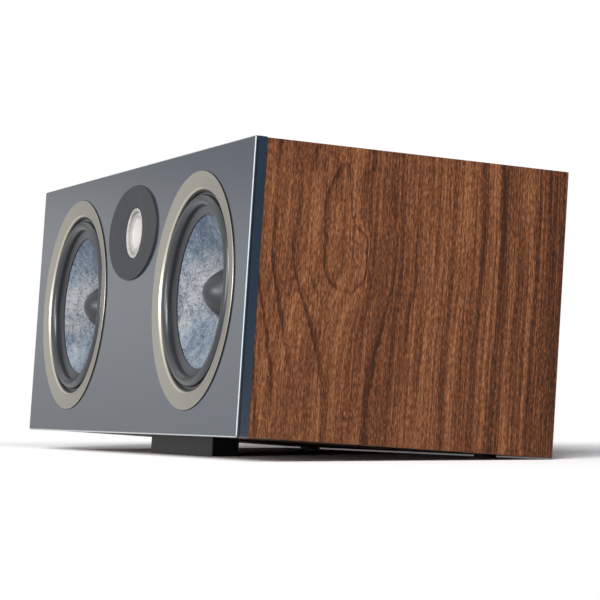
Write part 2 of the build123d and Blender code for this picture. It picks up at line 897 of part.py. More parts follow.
def crossover_pieces():
    """Board on spacers with coils, capacitors and resistors."""
    half = board_width / 2
    board = block((-half, half), (board_front, board_rear), (board_floor, board_top))
    spacer = post(spacer_radius, room_floor, board_floor) - post(
        screw_shank_radius + screw_fit, room_floor, board_floor
    )
    spacers = [Pos(place.position.X, place.position.Y, 0) * spacer for place in board_screw_places]
    for place in board_screw_places:
        board -= place * pilot_hole(board_screw_length)
    large = post(large_coil_radius, board_top, board_top + large_coil_height)
    large -= post(large_coil_inner_radius, board_top, board_top + large_coil_height)
    small = post(small_coil_radius, board_top, board_top + small_coil_height)
    small -= post(small_coil_inner_radius, board_top, board_top + small_coil_height)
    coil_row = (board_front + board_rear) / 2 + large_coil_radius - capacitor_radius
    can = Rot(90, 0, 0) * Cylinder(capacitor_radius, capacitor_length)
    can_row = board_front + 2 * lead_margin + capacitor_length / 2
    cans = [
        Pos((index - capacitor_count / 2) * capacitor_pitch, can_row, board_top + capacitor_radius) * can
        for index in range(capacitor_count)
    ]
    last_can = (capacitor_count / 2 - 1) * capacitor_pitch + capacitor_radius
    brick = block(
        (last_can + coil_gap_on_board, last_can + coil_gap_on_board + resistor_size),
        (can_row - resistor_length / 2, can_row + resistor_length / 2),
        (board_top, board_top + resistor_size),
    )
    return {
        "crossover_board": board,
        "board_spacers": spacers,
        "board_screws": [place * wood_screw(board_screw_length) for place in board_screw_places],
        "woofer_filter_coil": Pos(-large_coil_radius + coil_gap_on_board, coil_row, 0) * large,
        "tweeter_filter_coil": Pos(small_coil_radius + 2 * coil_gap_on_board, coil_row, 0) * small,
        "capacitors": cans,
        "resistors": [
            Pos(index * (resistor_size + coil_gap_on_board), 0, 0) * brick for index in range(resistor_count)
        ],
    }


def input_leads():
    """Leads from the posts down to the board."""
    start = post_inner_end - glue_gap
    end = board_rear - lead_margin - lead_radius
    return [
        lead(
            [
                (place.position.X, start, terminal_height),
                (place.position.X, end, terminal_height),
                (place.position.X, end, board_top + glue_gap),
            ],
            lead_bend,
        )
        for place in post_places.values()
    ]


def driver_leads():
    """Leads from the board to the two woofers and the tweeter."""
    pair = (-lead_pitch / 2, lead_pitch / 2)
    edge = board_width / 2 - lead_margin
    lug_x = woofer_offset - lug_reach + lead_margin
    lug_back = spider_depth + basket_wall + glue_gap
    leads = []
    for side in (-1, 1):
        for shift in pair:
            leads.append(
                lead(
                    [
                        (side * edge, lead_row + shift, board_top + glue_gap),
                        (side * edge, lead_row + shift, woofer_height + shift),
                        (side * lug_x, lead_row + shift, woofer_height + shift),
                        (side * lug_x, lug_back, woofer_height + shift),
                    ],
                    lead_bend,
                )
            )
    start = board_front + lead_margin
    for shift in pair:
        leads.append(
            lead(
                [
                    (shift, start, board_top + glue_gap),
                    (shift, start, tweeter_height),
                    (shift, tweeter_back_rear + glue_gap, tweeter_height),
                ],
                tweeter_lead_bend,
            )
        )
    return leads


# Gather the nodes
nodes = {"front_baffle": front_baffle(), **carcass_panels()}
nodes["back_panel"] = back_panel()
nodes["braces"] = braces()
nodes["wadding"] = wadding()
nodes["front_foot"] = front_foot()
nodes["foot_screws"] = [place * wood_screw(foot_screw_length) for place in foot_screw_places]
nodes["rear_pads"] = rear_pads()
for side_name, woofer_place in woofer_places.items():
    for piece_name, piece in woofer_pieces().items():
        nodes[f"{side_name}_{piece_name}"] = woofer_place * piece
nodes["woofer_screws"] = woofer_screws()
for piece_name, piece in tweeter_pieces().items():
    copies = piece if isinstance(piece, list) else [piece]
    nodes[piece_name] = [tweeter_place * copy for copy in copies]
nodes.update(terminal_pieces())
nodes["port_tube"] = port_tube()
nodes.update(crossover_pieces())
nodes["input_leads"] = input_leads()
nodes["driver_leads"] = driver_leads()

# Lean the speaker back until the foot and the pads stand on the ground, with the origin under its middle
leaned = {}
for node_name, shapes in nodes.items():
    solids = shapes if isinstance(shapes, list) else [shapes]
    leaned[node_name] = Rot(-lean, 0, 0) * Compound([one for shape in solids for one in shape.solids()])
reach = Compound(list(leaned.values())).bounding_box()
shift_y = -reach.center().Y
shift_z = -reach.min.Z
stand = Pos(0, shift_y, shift_z)

# Write one file for each node
os.makedirs("parts", exist_ok=True)
for node_name, shape in leaned.items():
    export_step(stand * shape, f"parts/{node_name}.step")
print(f"{len(leaned)} nodes, lean {lean:.5f} degrees, moved by y {shift_y:.5f} z {shift_z:.5f}")
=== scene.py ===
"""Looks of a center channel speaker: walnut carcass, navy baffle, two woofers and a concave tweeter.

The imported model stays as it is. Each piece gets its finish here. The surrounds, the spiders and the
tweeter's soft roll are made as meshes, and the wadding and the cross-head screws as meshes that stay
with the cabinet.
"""

import json
import math
from collections import namedtuple

import bmesh
import bpy
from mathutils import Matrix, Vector, noise


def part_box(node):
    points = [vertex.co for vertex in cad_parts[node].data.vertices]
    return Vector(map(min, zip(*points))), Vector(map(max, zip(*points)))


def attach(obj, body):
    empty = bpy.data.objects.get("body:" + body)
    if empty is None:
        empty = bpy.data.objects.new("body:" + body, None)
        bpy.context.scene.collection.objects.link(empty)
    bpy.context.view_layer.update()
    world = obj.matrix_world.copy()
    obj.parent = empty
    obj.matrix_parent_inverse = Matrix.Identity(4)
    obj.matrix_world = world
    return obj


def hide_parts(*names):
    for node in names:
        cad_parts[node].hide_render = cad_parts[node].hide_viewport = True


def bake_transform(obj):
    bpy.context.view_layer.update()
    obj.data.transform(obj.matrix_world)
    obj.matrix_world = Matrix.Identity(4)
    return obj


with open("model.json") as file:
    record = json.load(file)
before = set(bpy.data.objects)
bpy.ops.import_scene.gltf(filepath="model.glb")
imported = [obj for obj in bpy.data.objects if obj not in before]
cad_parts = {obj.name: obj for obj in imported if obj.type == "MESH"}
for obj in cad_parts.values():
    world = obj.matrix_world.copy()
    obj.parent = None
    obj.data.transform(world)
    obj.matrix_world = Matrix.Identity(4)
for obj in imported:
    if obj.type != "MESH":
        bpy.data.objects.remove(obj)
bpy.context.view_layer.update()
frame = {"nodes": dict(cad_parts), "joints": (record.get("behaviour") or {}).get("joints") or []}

bl_info = {
    "name": "Center channel speaker",
    "version": (1, 0, 0),
    "blender": (4, 5, 0),
    "location": "3D View > Sidebar > Speaker",
    "description": "Finishes and soft pieces of a center channel speaker",
    "category": "Object",
}


# The cabinet leans back on its foot, so its own directions come from the woofers' travel

def joint_axis(name):
    """Direction in which a joint moves."""
    found = [joint for joint in frame["joints"] if joint["name"] == name]
    return Vector(found[0]["axis"]).normalized()


forward = joint_axis("left_cone_travel")
backward = -forward
across = Vector((1.0, 0.0, 0.0))
upward = forward.cross(across)
lean = math.atan2(forward.z, -forward.y)


def reach(node, direction):
    """Least and greatest place of a node along a direction."""
    places = [vertex.co.dot(direction) for vertex in frame["nodes"][node].data.vertices]
    return min(places), max(places)


baffle_face = reach("front_baffle", backward)[0]
cabinet_foot = reach("bottom_panel", upward)[0]
cabinet_tall = reach("top_panel", upward)[1] - cabinet_foot
cabinet_half_wide = reach("right_side_panel", across)[1]


def axis_point(node):
    """Point where the axis of a round node meets the plane of the baffle's face."""
    low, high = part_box(node)
    centre = (low + high) / 2
    return centre + backward * (baffle_face - centre.dot(backward))


RoundSize = namedtuple("RoundSize", "inner outer front back")


def round_size(node, centre):
    """Inner and outer radius of a round node, and its front and back depths behind the baffle's face."""
    steps = [vertex.co - centre for vertex in frame["nodes"][node].data.vertices]
    radii = [(step - backward * step.dot(backward)).length for step in steps]
    depths = [step.dot(backward) for step in steps]
    return RoundSize(min(radii), max(radii), min(depths), max(depths))


woofer_axis = {side: axis_point(side + "_magnet") for side in ("left", "right")}
tweeter_axis = axis_point("tweeter_top_plate")
surround_size = round_size("right_surround", woofer_axis["right"])
spider_size = round_size("right_spider", woofer_axis["right"])
tweeter_surround_size = round_size("tweeter_surround", tweeter_axis)


# Sizes and colours that a user would change

def length(name, description, default):
    """A size in metres."""
    return bpy.props.FloatProperty(
        name=name, description=description, default=default, min=0.0, precision=5, unit="LENGTH"
    )


def tint(name, description, default):
    """A colour."""
    return bpy.props.FloatVectorProperty(
        name=name, description=description, default=default, min=0.0, max=1.0, size=3, subtype="COLOR"
    )


def spot(name, description, default):
    """A place in metres."""
    return bpy.props.FloatVectorProperty(
        name=name, description=description, default=default, size=3, subtype="XYZ", unit="LENGTH"
    )


def amount(name, description, default, subtype="NONE"):
    """A number that isn't a length."""
    return bpy.props.FloatProperty(
        name=name, description=description, default=default, min=0.0, subtype=subtype
    )


class SpeakerSizes(bpy.types.PropertyGroup):
    """Sizes of the soft pieces and the screws, and of the edges that a finish follows."""

    surround_inner: length("Surround inner radius", "Lip of the rubber on the cone", surround_size.inner)
    surround_outer: length("Surround outer radius", "Edge of the rubber on the basket", surround_size.outer)
    surround_crest: length("Surround roll height", "Radius of the half roll", 0.0044)
    surround_seat: length("Surround seat", "Flat rim outside the half roll", 0.0013)
    surround_lip: length("Surround lip", "Flat glued to the cone inside the roll", 0.0060)
    surround_fall: length("Surround lip fall", "How much deeper the lip is at its inner edge", 0.00225)
    rubber: length("Rubber thickness", "Thickness of the surround", 0.001)
    spider_inner: length("Spider inner radius", "Edge glued to the voice coil", spider_size.inner)
    spider_outer: length("Spider outer radius", "Edge glued to the basket", spider_size.outer)
    spider_rim: length("Spider rim", "Flat rim glued to the basket", 0.004)
    spider_cloth: length("Spider cloth", "Thickness of the spider", 0.0008)
    spider_waves: bpy.props.IntProperty(
        name="Spider waves", description="Corrugations from the coil to the rim", default=4, min=1
    )
    tweeter_roll: length("Tweeter roll width", "Soft roll between the dome and its bezel", 0.0053)
    tweeter_cloth: length("Tweeter roll thickness", "Thickness of the soft roll", 0.0006)
    tweeter_rise: length("Tweeter roll height", "Rise of the soft roll", 0.001)
    arris: length("Arris radius", "Rounded front edge of the baffle", 0.0012)
    # Width of the painted highlight on the inner bevel of a trim ring.
    ring_bevel: length("Ring bevel", "Width of the bright bevel inside a trim ring", 0.0012)
    bezel_rim: length("Bezel rim", "Width of the bright rim of the tweeter's bezel", 0.0009)
    wadding_crown: length("Wadding crown", "How far the wadding thins out to its edges", 0.012)
    wadding_tuft: length("Wadding tufts", "Height of the lumps on the wadding", 0.0035)
    screw_slot: length("Screw slot width", "Width of one arm of a screw's cross", 0.0009)


class SpeakerColours(bpy.types.PropertyGroup):
    """Colours of the finishes."""

    lacquer: tint("Lacquer", "Navy lacquer of the baffle", (0.017, 0.030, 0.049))
    # Painted highlight: a pale colour on the rounded arris of the baffle, standing in for a lamp's glint.
    painted_arris_highlight: tint("Polished arris", "Lacquer rubbed pale on the rounded arris", (0.46, 0.50, 0.54))
    walnut_dark: tint("Walnut lines", "Late wood and pores", (0.036, 0.0135, 0.0075))
    walnut: tint("Walnut", "Body of the veneer", (0.140, 0.0475, 0.0185))
    walnut_light: tint("Walnut streaks", "Early wood", (0.290, 0.121, 0.054))
    champagne: tint("Trim rings", "Satin champagne coat", (0.37, 0.35, 0.305))
    # Painted highlight: pale colour on the inner bevel of the trim rings, standing in for a lamp's glint.
    ring_bevel_highlight: tint("Ring bevels", "Bright cut on the inner edge of the trim rings", (0.50, 0.47, 0.40))
    rubber: tint("Rubber", "Surrounds and pads", (0.014, 0.015, 0.017))
    cone_dark: tint("Cone fibres", "Dark fibres of the cones", (0.050, 0.075, 0.110))
    cone_light: tint("Cone", "Pale pulp of the cones", (0.365, 0.375, 0.390))
    # Also tints the cones above and below their middle, partly as painted shade.
    cone_blue: tint("Cone tint", "Blue tint of some patches of the cones", (0.68, 0.83, 0.97))
    cap: tint("Dust caps", "Satin grey of the dust caps", (0.024, 0.026, 0.029))
    plate: tint("Tweeter plate", "Moulded grey of the faceplate", (0.030, 0.032, 0.036))
    bezel: tint("Tweeter bezel", "Bright ring", (0.78, 0.77, 0.75))
    dome: tint("Tweeter dome", "Pale metal of the dome", (0.70, 0.68, 0.64))
    roll: tint("Tweeter roll", "Speckled soft roll", (0.42, 0.41, 0.39))
    plastic: tint("Plastic", "Black mouldings", (0.013, 0.013, 0.014))
    board: tint("Back board", "Black vinyl of the back", (0.018, 0.018, 0.020))
    fibreboard: tint("Fibreboard", "Raw board of the braces", (0.42, 0.30, 0.19))
    steel: tint("Steel", "Zinc plated motor plates", (0.55, 0.55, 0.56))
    ferrite: tint("Ferrite", "Magnets", (0.045, 0.045, 0.048))
    copper: tint("Copper", "Enamelled windings", (0.55, 0.25, 0.11))
    brass: tint("Posts", "Plated binding posts", (0.75, 0.58, 0.28))
    red: tint("Red", "Red knob and lead", (0.42, 0.012, 0.014))
    cloth: tint("Spider cloth", "Resin soaked cloth", (0.50, 0.34, 0.14))
    wadding: tint("Wadding", "Polyester fibre", (0.62, 0.62, 0.60))
    circuit: tint("Circuit board", "Green coat of the board", (0.030, 0.110, 0.045))
    film: tint("Capacitors", "Wrap of the capacitors", (0.55, 0.29, 0.05))
    cement: tint("Resistors", "Cement bodies", (0.72, 0.71, 0.67))
    nylon: tint("Spacers", "Nylon spacers", (0.70, 0.70, 0.65))


class SpeakerStage(bpy.types.PropertyGroup):
    """Camera, lamps, room and floor."""

    camera_place: spot("Camera", "Place of the camera", (1.9900, -0.7790, 0.0447))
    camera_aim: bpy.props.FloatVectorProperty(
        name="Aim", description="Direction in which the camera looks", default=(-0.92743, 0.37183, 0.04028),
        subtype="XYZ",
    )
    camera_lens: amount("Lens", "Focal length in millimetres", 150.7)
    lamp_target: spot("Lamp target", "Point that both lamps face", (0.0, 0.0, 0.11))
    high_place: spot("High lamp", "Large soft lamp above the right front corner", (3.9, -2.75, 2.8))
    high_size: length("High lamp size", "Side of the high lamp", 2.2)
    high_power: amount("High lamp power", "Light of the high lamp", 260.0, "POWER")
    low_place: spot("Low lamp", "Soft lamp near the floor in front of the baffle", (1.6, -4.0, 0.75))
    low_size: length("Low lamp size", "Side of the low lamp", 1.4)
    low_power: amount("Low lamp power", "Light of the low lamp", 75.0, "POWER")
    room_light: amount("Room light", "Even light from all round", 0.20)
    floor_size: length("Floor", "Side of the floor", 16.0)
    floor_white: tint("Floor colour", "Pale floor", (0.93, 0.93, 0.93))
    floor_lift: amount("Floor lift", "How much paler the floor is to the eye than to the light", 1.45)


# Shader maths

class Signal:
    """A value on its way through a material. Sums on it add Math nodes."""

    def __init__(self, bench, socket):
        self.bench = bench
        self.socket = socket

    def __add__(self, other):
        return self.bench.math("ADD", self, other)

    def __radd__(self, other):
        return self.bench.math("ADD", other, self)

    def __sub__(self, other):
        return self.bench.math("SUBTRACT", self, other)

    def __rsub__(self, other):
        return self.bench.math("SUBTRACT", other, self)

    def __mul__(self, other):
        return self.bench.math("MULTIPLY", self, other)

    def __rmul__(self, other):
        return self.bench.math("MULTIPLY", other, self)

    def __truediv__(self, other):
        return self.bench.math("DIVIDE", self, other)

    def __rtruediv__(self, other):
        return self.bench.math("DIVIDE", other, self)


class Bench:
    """The node tree of one finish."""

    def __init__(self, tree):
        self.tree = tree
        tree.nodes.clear()

    def add(self, kind, settings=None, values=None, output=0):
        """Adds a node, sets it up, fills or links its sockets and gives one of its outputs."""
        node = self.tree.nodes.new(kind)
        for name, setting in (settings or {}).items():
            if name == "stops":
                self.set_stops(node.color_ramp, setting)
            else:
                setattr(node, name, setting)
        for key, value in (values or {}).items():
            socket = node.inputs[key]
            if isinstance(value, Signal):
                self.tree.links.new(value.socket, socket)
            elif socket.type == "RGBA":
                socket.default_value = (*value[:3], 1.0)
            else:
                socket.default_value = value
        return Signal(self, node.outputs[output]) if node.outputs else node

    def set_stops(self, ramp, stops):
        """Gives a colour ramp its stops, each a place and a colour."""
        while len(ramp.elements) < len(stops):
            ramp.elements.new(0.5)
        for element, (place, colour) in zip(ramp.elements, stops):
            element.position = place
            element.color = (*colour[:3], 1.0)

    def math(self, operation, *values):
        """One sum on numbers."""
        return self.add("ShaderNodeMath", {"operation": operation}, dict(enumerate(values)))

    def own(self):
        """Place on the piece, in metres."""
        return self.add("ShaderNodeTexCoord", output="Object")

    def cabinet(self):
        """Place in the leaning cabinet: across, behind the baffle's face, and above the underside."""
        shift = (0.0, -baffle_face, -cabinet_foot)
        return self.add("ShaderNodeMapping", values={0: self.own(), 1: shift, 2: (lean, 0.0, 0.0)})

    def split(self, vector):
        """The three numbers of a vector."""
        first = self.add("ShaderNodeSeparateXYZ", values={0: vector})
        return [Signal(self, socket) for socket in first.socket.node.outputs]

    def join(self, x, y, z):
        """A vector from three numbers."""
        return self.add("ShaderNodeCombineXYZ", values={0: x, 1: y, 2: z})

    def polar(self, centre):
        """Radius, angle and depth about a driver's axis."""
        x, depth, height = self.split(self.cabinet())
        right = x - centre.x
        up = height - (centre.dot(upward) - cabinet_foot)
        radius = self.math("SQRT", right * right + up * up)
        return radius, self.math("ARCTAN2", up, right), depth

    def noise(self, vector, scale, detail=2.0, roughness=0.5, distortion=0.0):
        """Cloudy noise, about a half on average."""
        values = {"Vector": vector, "Scale": scale, "Detail": detail, "Roughness": roughness}
        return self.add("ShaderNodeTexNoise", values={**values, "Distortion": distortion})

    def drawn_out(self, sideways, lengthwise, scales, seed, detail=2.0, roughness=0.5):
        """Cloudy noise drawn out along a grain. scales holds the lumps a metre sideways and lengthwise."""
        place = self.join(sideways * scales[0], lengthwise * scales[1], seed)
        return self.noise(place, 1.0, detail, roughness)

    def cells(self, vector, scale, feature="F1"):
        """Distance in a field of random points."""
        return self.add("ShaderNodeTexVoronoi", {"feature": feature}, {"Vector": vector, "Scale": scale})

    def smooth(self, value, low, high):
        """Rises softly from 0 at low to 1 at high."""
        settings = {"interpolation_type": "SMOOTHSTEP"}
        return self.add("ShaderNodeMapRange", settings, {"Value": value, "From Min": low, "From Max": high})

    def waves(self, value, pitch):
        """Even waves from 0 to 1, one in each pitch."""
        return 0.5 + 0.5 * self.math("SINE", value * 2.0 * math.pi / pitch)

    def mix(self, share, first, second):
        """One colour turning into another."""
        return self.add("ShaderNodeMix", {"data_type": "RGBA"}, {0: share, 6: first, 7: second}, 2)

    def toned(self, share, colour, dark, light):
        """A colour that goes from a darker to a lighter shade of itself."""
        return self.mix(share, shade(colour, dark), shade(colour, light))

    def ramp(self, value, stops):
        """A colour picked from a ramp."""
        return self.add("ShaderNodeValToRGB", {"stops": stops}, {0: value})

    def tinted(self, colour, tint_colour):
        """A colour seen through a tint."""
        settings = {"data_type": "RGBA", "blend_type": "MULTIPLY"}
        return self.add("ShaderNodeMix", settings, {0: 1.0, 6: colour, 7: tint_colour}, 2)

    def bump(self, height, distance, strength=1.0):
        """Fine relief, as a normal."""
        values = {"Height": height, "Distance": distance, "Strength": strength}
        return self.add("ShaderNodeBump", values=values)


def finish(name, draw):
    """A material whose surface is what draw gives for its bench."""
    material = bpy.data.materials.new(name)
    material.use_nodes = True
    bench = Bench(material.node_tree)
    surface = bench.add("ShaderNodeBsdfPrincipled", values=draw(bench))
    bench.add("ShaderNodeOutputMaterial", values={"Surface": surface})
    return material


def dress(material, *nodes):
    """Puts a finish on CAD nodes."""
    for name in nodes:
        slots = frame["nodes"][name].data.materials
        slots.clear()
        slots.append(material)


def shade(colour, share):
    """A colour made darker, or lighter with a share above 1."""
    return tuple(min(1.0, part * share) for part in colour)


# Finishes of the cabinet

def lacquer(colour, painted_arris_highlight, arris):
    """Satin lacquer with faint clouds and orange peel, and a painted highlight in pale colour where the
    arris is rounded.
    """
    half_wide = reach("front_baffle", across)[1]
    foot, top = reach("front_baffle", upward)
    half_tall = (top - foot) / 2
    middle = (top + foot) / 2 - cabinet_foot

    def draw(bench):
        place = bench.cabinet()
        x, depth, height = bench.split(place)
        beside = bench.math("ABSOLUTE", x) - (half_wide - arris)
        above = bench.math("ABSOLUTE", height - middle) - (half_tall - arris)
        outward = bench.smooth(bench.math("MAXIMUM", beside, above), 0.2 * arris, 0.5 * arris)
        # rounded marks the arris, where the pale colour is a painted highlight.
        rounded = outward * (1.0 - bench.smooth(depth, 0.4 * arris, 0.8 * arris))
        cloud = bench.noise(place, 9.0, 3.0)
        peel = bench.noise(place, 620.0, 2.0)
        mist = bench.noise(place, 2400.0, 1.0)
        return {
            "Base Color": bench.mix(rounded, bench.toned(cloud, colour, 0.88, 1.12), painted_arris_highlight),
            "Roughness": 0.30 + 0.06 * cloud + 0.06 * mist,
            "Specular IOR Level": 0.15,
            "Coat Weight": 1.0,
            "Coat Roughness": 0.14,
            "Normal": bench.bump(peel, 0.00003),
        }
    return finish("navy_satin_lacquer", draw)


def walnut_rings(bench, depth, run):
    """How far a spot of veneer lies beside the log's heart, and the radius of its growth ring."""
    heart_depth = 0.085
    heart_slant = 0.045
    heart_turn = 0.05
    loop_places = (0.143, 0.60, 0.88, -0.28)
    loop_above = 0.078
    loop_below = 0.035
    loop_width = 0.042
    neck_depth = 0.012

    slow = bench.drawn_out(depth, run, (9.0, 5.0), 0.3)
    wobble = bench.drawn_out(depth, run, (60.0, 34.0), 1.7)
    jag = bench.drawn_out(depth, run, (420.0, 150.0), 4.4, 1.0)
    heart = heart_depth - heart_slant * run + heart_turn * bench.smooth(run, 0.25, 0.5)
    beside = depth - heart + 0.016 * (slow - 0.5) + 0.0055 * (wobble - 0.5) + 0.0022 * (jag - 0.5)
    neck = bench.smooth(run, 0.152, 0.170) * (1.0 - bench.smooth(run, 0.195, 0.215))
    waist = bench.smooth(beside, 0.0, 0.008) * (1.0 - bench.smooth(beside, 0.018, 0.045))
    beside = beside + neck_depth * neck * waist
    nearness = 0.0
    for place in loop_places:
        away = run - place
        spread = loop_below + (loop_above - loop_below) * bench.smooth(away, -0.02, 0.02)
        step = away / spread
        nearness = nearness + 1.0 / (1.0 + step * step)
    rise = loop_width * (1.0 - bench.math("MINIMUM", nearness, 1.0))
    return beside, bench.math("SQRT", beside * beside + rise * rise)


def late_wood(bench, beside, ring, run):
    """The dark line at the end of each growth ring, broken along the grain and faint where it lies flat."""
    rings_a_metre = 78.0
    drift = bench.drawn_out(ring, run, (26.0, 1.6), 7.3, 1.0)
    year = bench.math("FRACT", ring * rings_a_metre + 1.6 * drift + 0.93)
    line = bench.smooth(year, 0.68, 0.93) * (1.0 - bench.smooth(year, 0.95, 1.0))
    broken = bench.smooth(bench.drawn_out(ring, run, (45.0, 9.0), 2.2), 0.30, 0.56)
    rear_fade = 1.0 - 0.6 * bench.smooth(beside, 0.03, 0.08)
    off_heart = bench.smooth(ring, 0.006, 0.012)
    steep = bench.smooth(bench.math("ABSOLUTE", beside) / ring, 0.15, 0.75)
    return line * broken * rear_fade * off_heart * (0.45 + 0.55 * steep)


def walnut(name, colours, grain_place, roughness):
    """Walnut veneer. grain_place gives the run along the grain, wrapped from panel to panel."""
    def draw(bench):
        x, depth, height = bench.split(bench.cabinet())
        run = grain_place(x, height)
        beside, ring = walnut_rings(bench, depth, run)
        late = late_wood(bench, beside, ring, run)
        bands = bench.drawn_out(ring + depth, run, (62.0, 1.5), 3.7, 2.0, 0.6)
        lines = bench.drawn_out(ring + 2.0 * depth, run, (190.0, 4.0), 9.1, 3.0, 0.7)
        flecks = bench.drawn_out(depth, run, (1150.0, 240.0), 5.2, 2.0, 0.7)
        streaks = bench.drawn_out(depth, run, (760.0, 9.0), 6.1, 2.0, 0.6)
        pores = bench.smooth(bench.drawn_out(depth, run, (1500.0, 130.0), 8.8, 1.0), 0.56, 0.72)
        rearward = 1.0 + 0.7 * bench.smooth(depth, 0.12, 0.22)
        tone = 0.49 + rearward * (0.90 * (bands - 0.5) + 0.75 * (lines - 0.5))
        tone = tone + 1.65 * (flecks - 0.5) + 0.85 * (streaks - 0.5)
        tone = tone - 0.40 * late * (0.45 + flecks) - 0.20 * pores
        stops = [
            (0.06, colours.walnut_dark),
            (0.50, colours.walnut),
            (0.86, colours.walnut_light),
            (1.0, shade(colours.walnut_light, 1.25)),
        ]
        return {
            "Base Color": bench.ramp(tone, stops),
            "Roughness": roughness + 0.12 * pores + 0.08 * (1.0 - flecks),
            "Specular IOR Level": 0.16,
            "Normal": bench.bump(flecks - 1.2 * pores, 0.00006, 0.7),
        }
    return finish(name, draw)


def back_vinyl(colour):
    """Black vinyl with a fine leather grain."""
    def draw(bench):
        place = bench.cabinet()
        grain = bench.cells(place, 900.0, "DISTANCE_TO_EDGE")
        cloud = bench.noise(place, 14.0, 3.0)
        return {
            "Base Color": bench.toned(cloud, colour, 0.8, 1.3),
            "Roughness": 0.52 + 0.14 * cloud,
            "Normal": bench.bump(bench.smooth(grain, 0.0, 0.28), 0.0001, 0.8),
        }
    return finish("black_vinyl_board", draw)


def fibreboard(colour):
    """Raw fibreboard with short fibres."""
    def draw(bench):
        place = bench.cabinet()
        fibre = bench.noise(place, 900.0, 4.0, 0.7)
        cloud = bench.noise(place, 30.0, 3.0)
        mixed = bench.toned(fibre, colour, 0.7, 1.25)
        return {
            "Base Color": bench.mix(0.35 * cloud, mixed, shade(colour, 0.75)),
            "Roughness": 0.82 + 0.1 * fibre,
            "Normal": bench.bump(fibre, 0.0002, 0.6),
        }
    return finish("raw_fibreboard", draw)


def moulded(name, colour, roughness, grain, relief, shine=0.5):
    """Moulded plastic or rubber with an eroded mould texture and a trace of dust."""
    def draw(bench):
        place = bench.own()
        cells = bench.noise(place, grain, 3.0, 0.6)
        cloud = bench.noise(place, 40.0, 3.0)
        dust = bench.smooth(bench.noise(place, 210.0, 3.0, 0.7), 0.62, 0.8)
        body = bench.toned(cloud, colour, 0.85, 1.2)
        return {
            "Base Color": bench.mix(0.05 * dust, body, (0.5, 0.5, 0.5)),
            "Roughness": roughness + 0.12 * (cells - 0.5) + 0.08 * dust,
            "Specular IOR Level": shine,
            "Normal": bench.bump(cells, relief, 0.7),
        }
    return finish(name, draw)


# Finishes of the drivers

def satin_grain(bench):
    """The very fine grain of a satin coat, and its faint clouds."""
    place = bench.own()
    return bench.noise(place, 3200.0, 2.0, 0.6), bench.noise(place, 25.0, 2.0)


def satin_metal(name, colour, roughness, metallic):
    """Satin coated metal with a very fine grain."""
    def draw(bench):
        grain, cloud = satin_grain(bench)
        return {
            "Base Color": bench.toned(cloud, colour, 0.95, 1.05),
            "Metallic": metallic - 0.06 * grain,
            "Roughness": roughness + 0.07 * (grain - 0.5) + 0.05 * (cloud - 0.5),
            "Normal": bench.bump(grain, 0.00001, 0.5),
        }
    return finish(name, draw)


def ring_coat(side, colour, highlight, bevel_radius, side_radius):
    """Satin coat of a trim ring, with a painted highlight on its inner bevel and a painted shadow on its
    outer side.
    """
    bevel_blur = 0.0002
    side_starts = side_radius - 0.0003
    side_reached = side_radius - 0.0001

    def draw(bench):
        grain, cloud = satin_grain(bench)
        radius, _, _ = bench.polar(woofer_axis[side])
        # bevel marks the inner bevel, where the pale colour is a painted highlight.
        bevel = 1.0 - bench.smooth(radius, bevel_radius - bevel_blur, bevel_radius + bevel_blur)
        # outside marks the ring's outer side, darkened as a painted shadow of the gap to the baffle.
        outside = bench.smooth(radius, side_starts, side_reached)
        satin = bench.toned(cloud, colour, 0.95, 1.05)
        return {
            "Base Color": bench.mix(outside, bench.mix(bevel, satin, highlight), shade(colour, 0.10)),
            "Metallic": 0.90 - 0.06 * grain,
            "Roughness": 0.36 + 0.07 * (grain - 0.5) + 0.05 * (cloud - 0.5) + 0.10 * bevel,
            "Normal": bench.bump(grain, 0.00001, 0.5),
        }
    return finish(side + "_ring_coat", draw)


def turned_metal(name, colour, roughness, centre, pitch):
    """Metal with the fine rings that a lathe leaves about a driver's axis."""
    def draw(bench):
        radius, angle, depth = bench.polar(centre)
        rings = bench.noise(bench.join(radius / pitch, 0.15 * angle, 0.4 * depth / pitch), 1.0, 2.0, 0.6)
        cloud = bench.noise(bench.own(), 60.0, 2.0)
        return {
            "Base Color": bench.toned(rings, colour, 0.9, 1.08),
            "Metallic": 0.92 - 0.05 * cloud,
            "Roughness": roughness + 0.10 * (rings - 0.5) + 0.06 * (cloud - 0.5),
            "Normal": bench.bump(rings, 0.00001, 0.6),
        }
    return finish(name, draw)


def surround_rubber(colour):
    """Soft black rubber: satin, faintly mottled, with a bloom in its finest texture."""
    def draw(bench):
        place = bench.own()
        fine = bench.noise(place, 1500.0, 3.0, 0.6)
        cloud = bench.noise(place, 55.0, 3.0)
        return {
            "Base Color": bench.toned(cloud, colour, 0.85, 1.25),
            "Roughness": 0.33 + 0.10 * (cloud - 0.5) + 0.08 * (fine - 0.5),
            "Specular IOR Level": 0.72,
            "Specular Tint": (0.90, 0.95, 1.0),
            "Normal": bench.bump(fine, 0.00002, 0.6),
        }
    return finish("surround_rubber", draw)


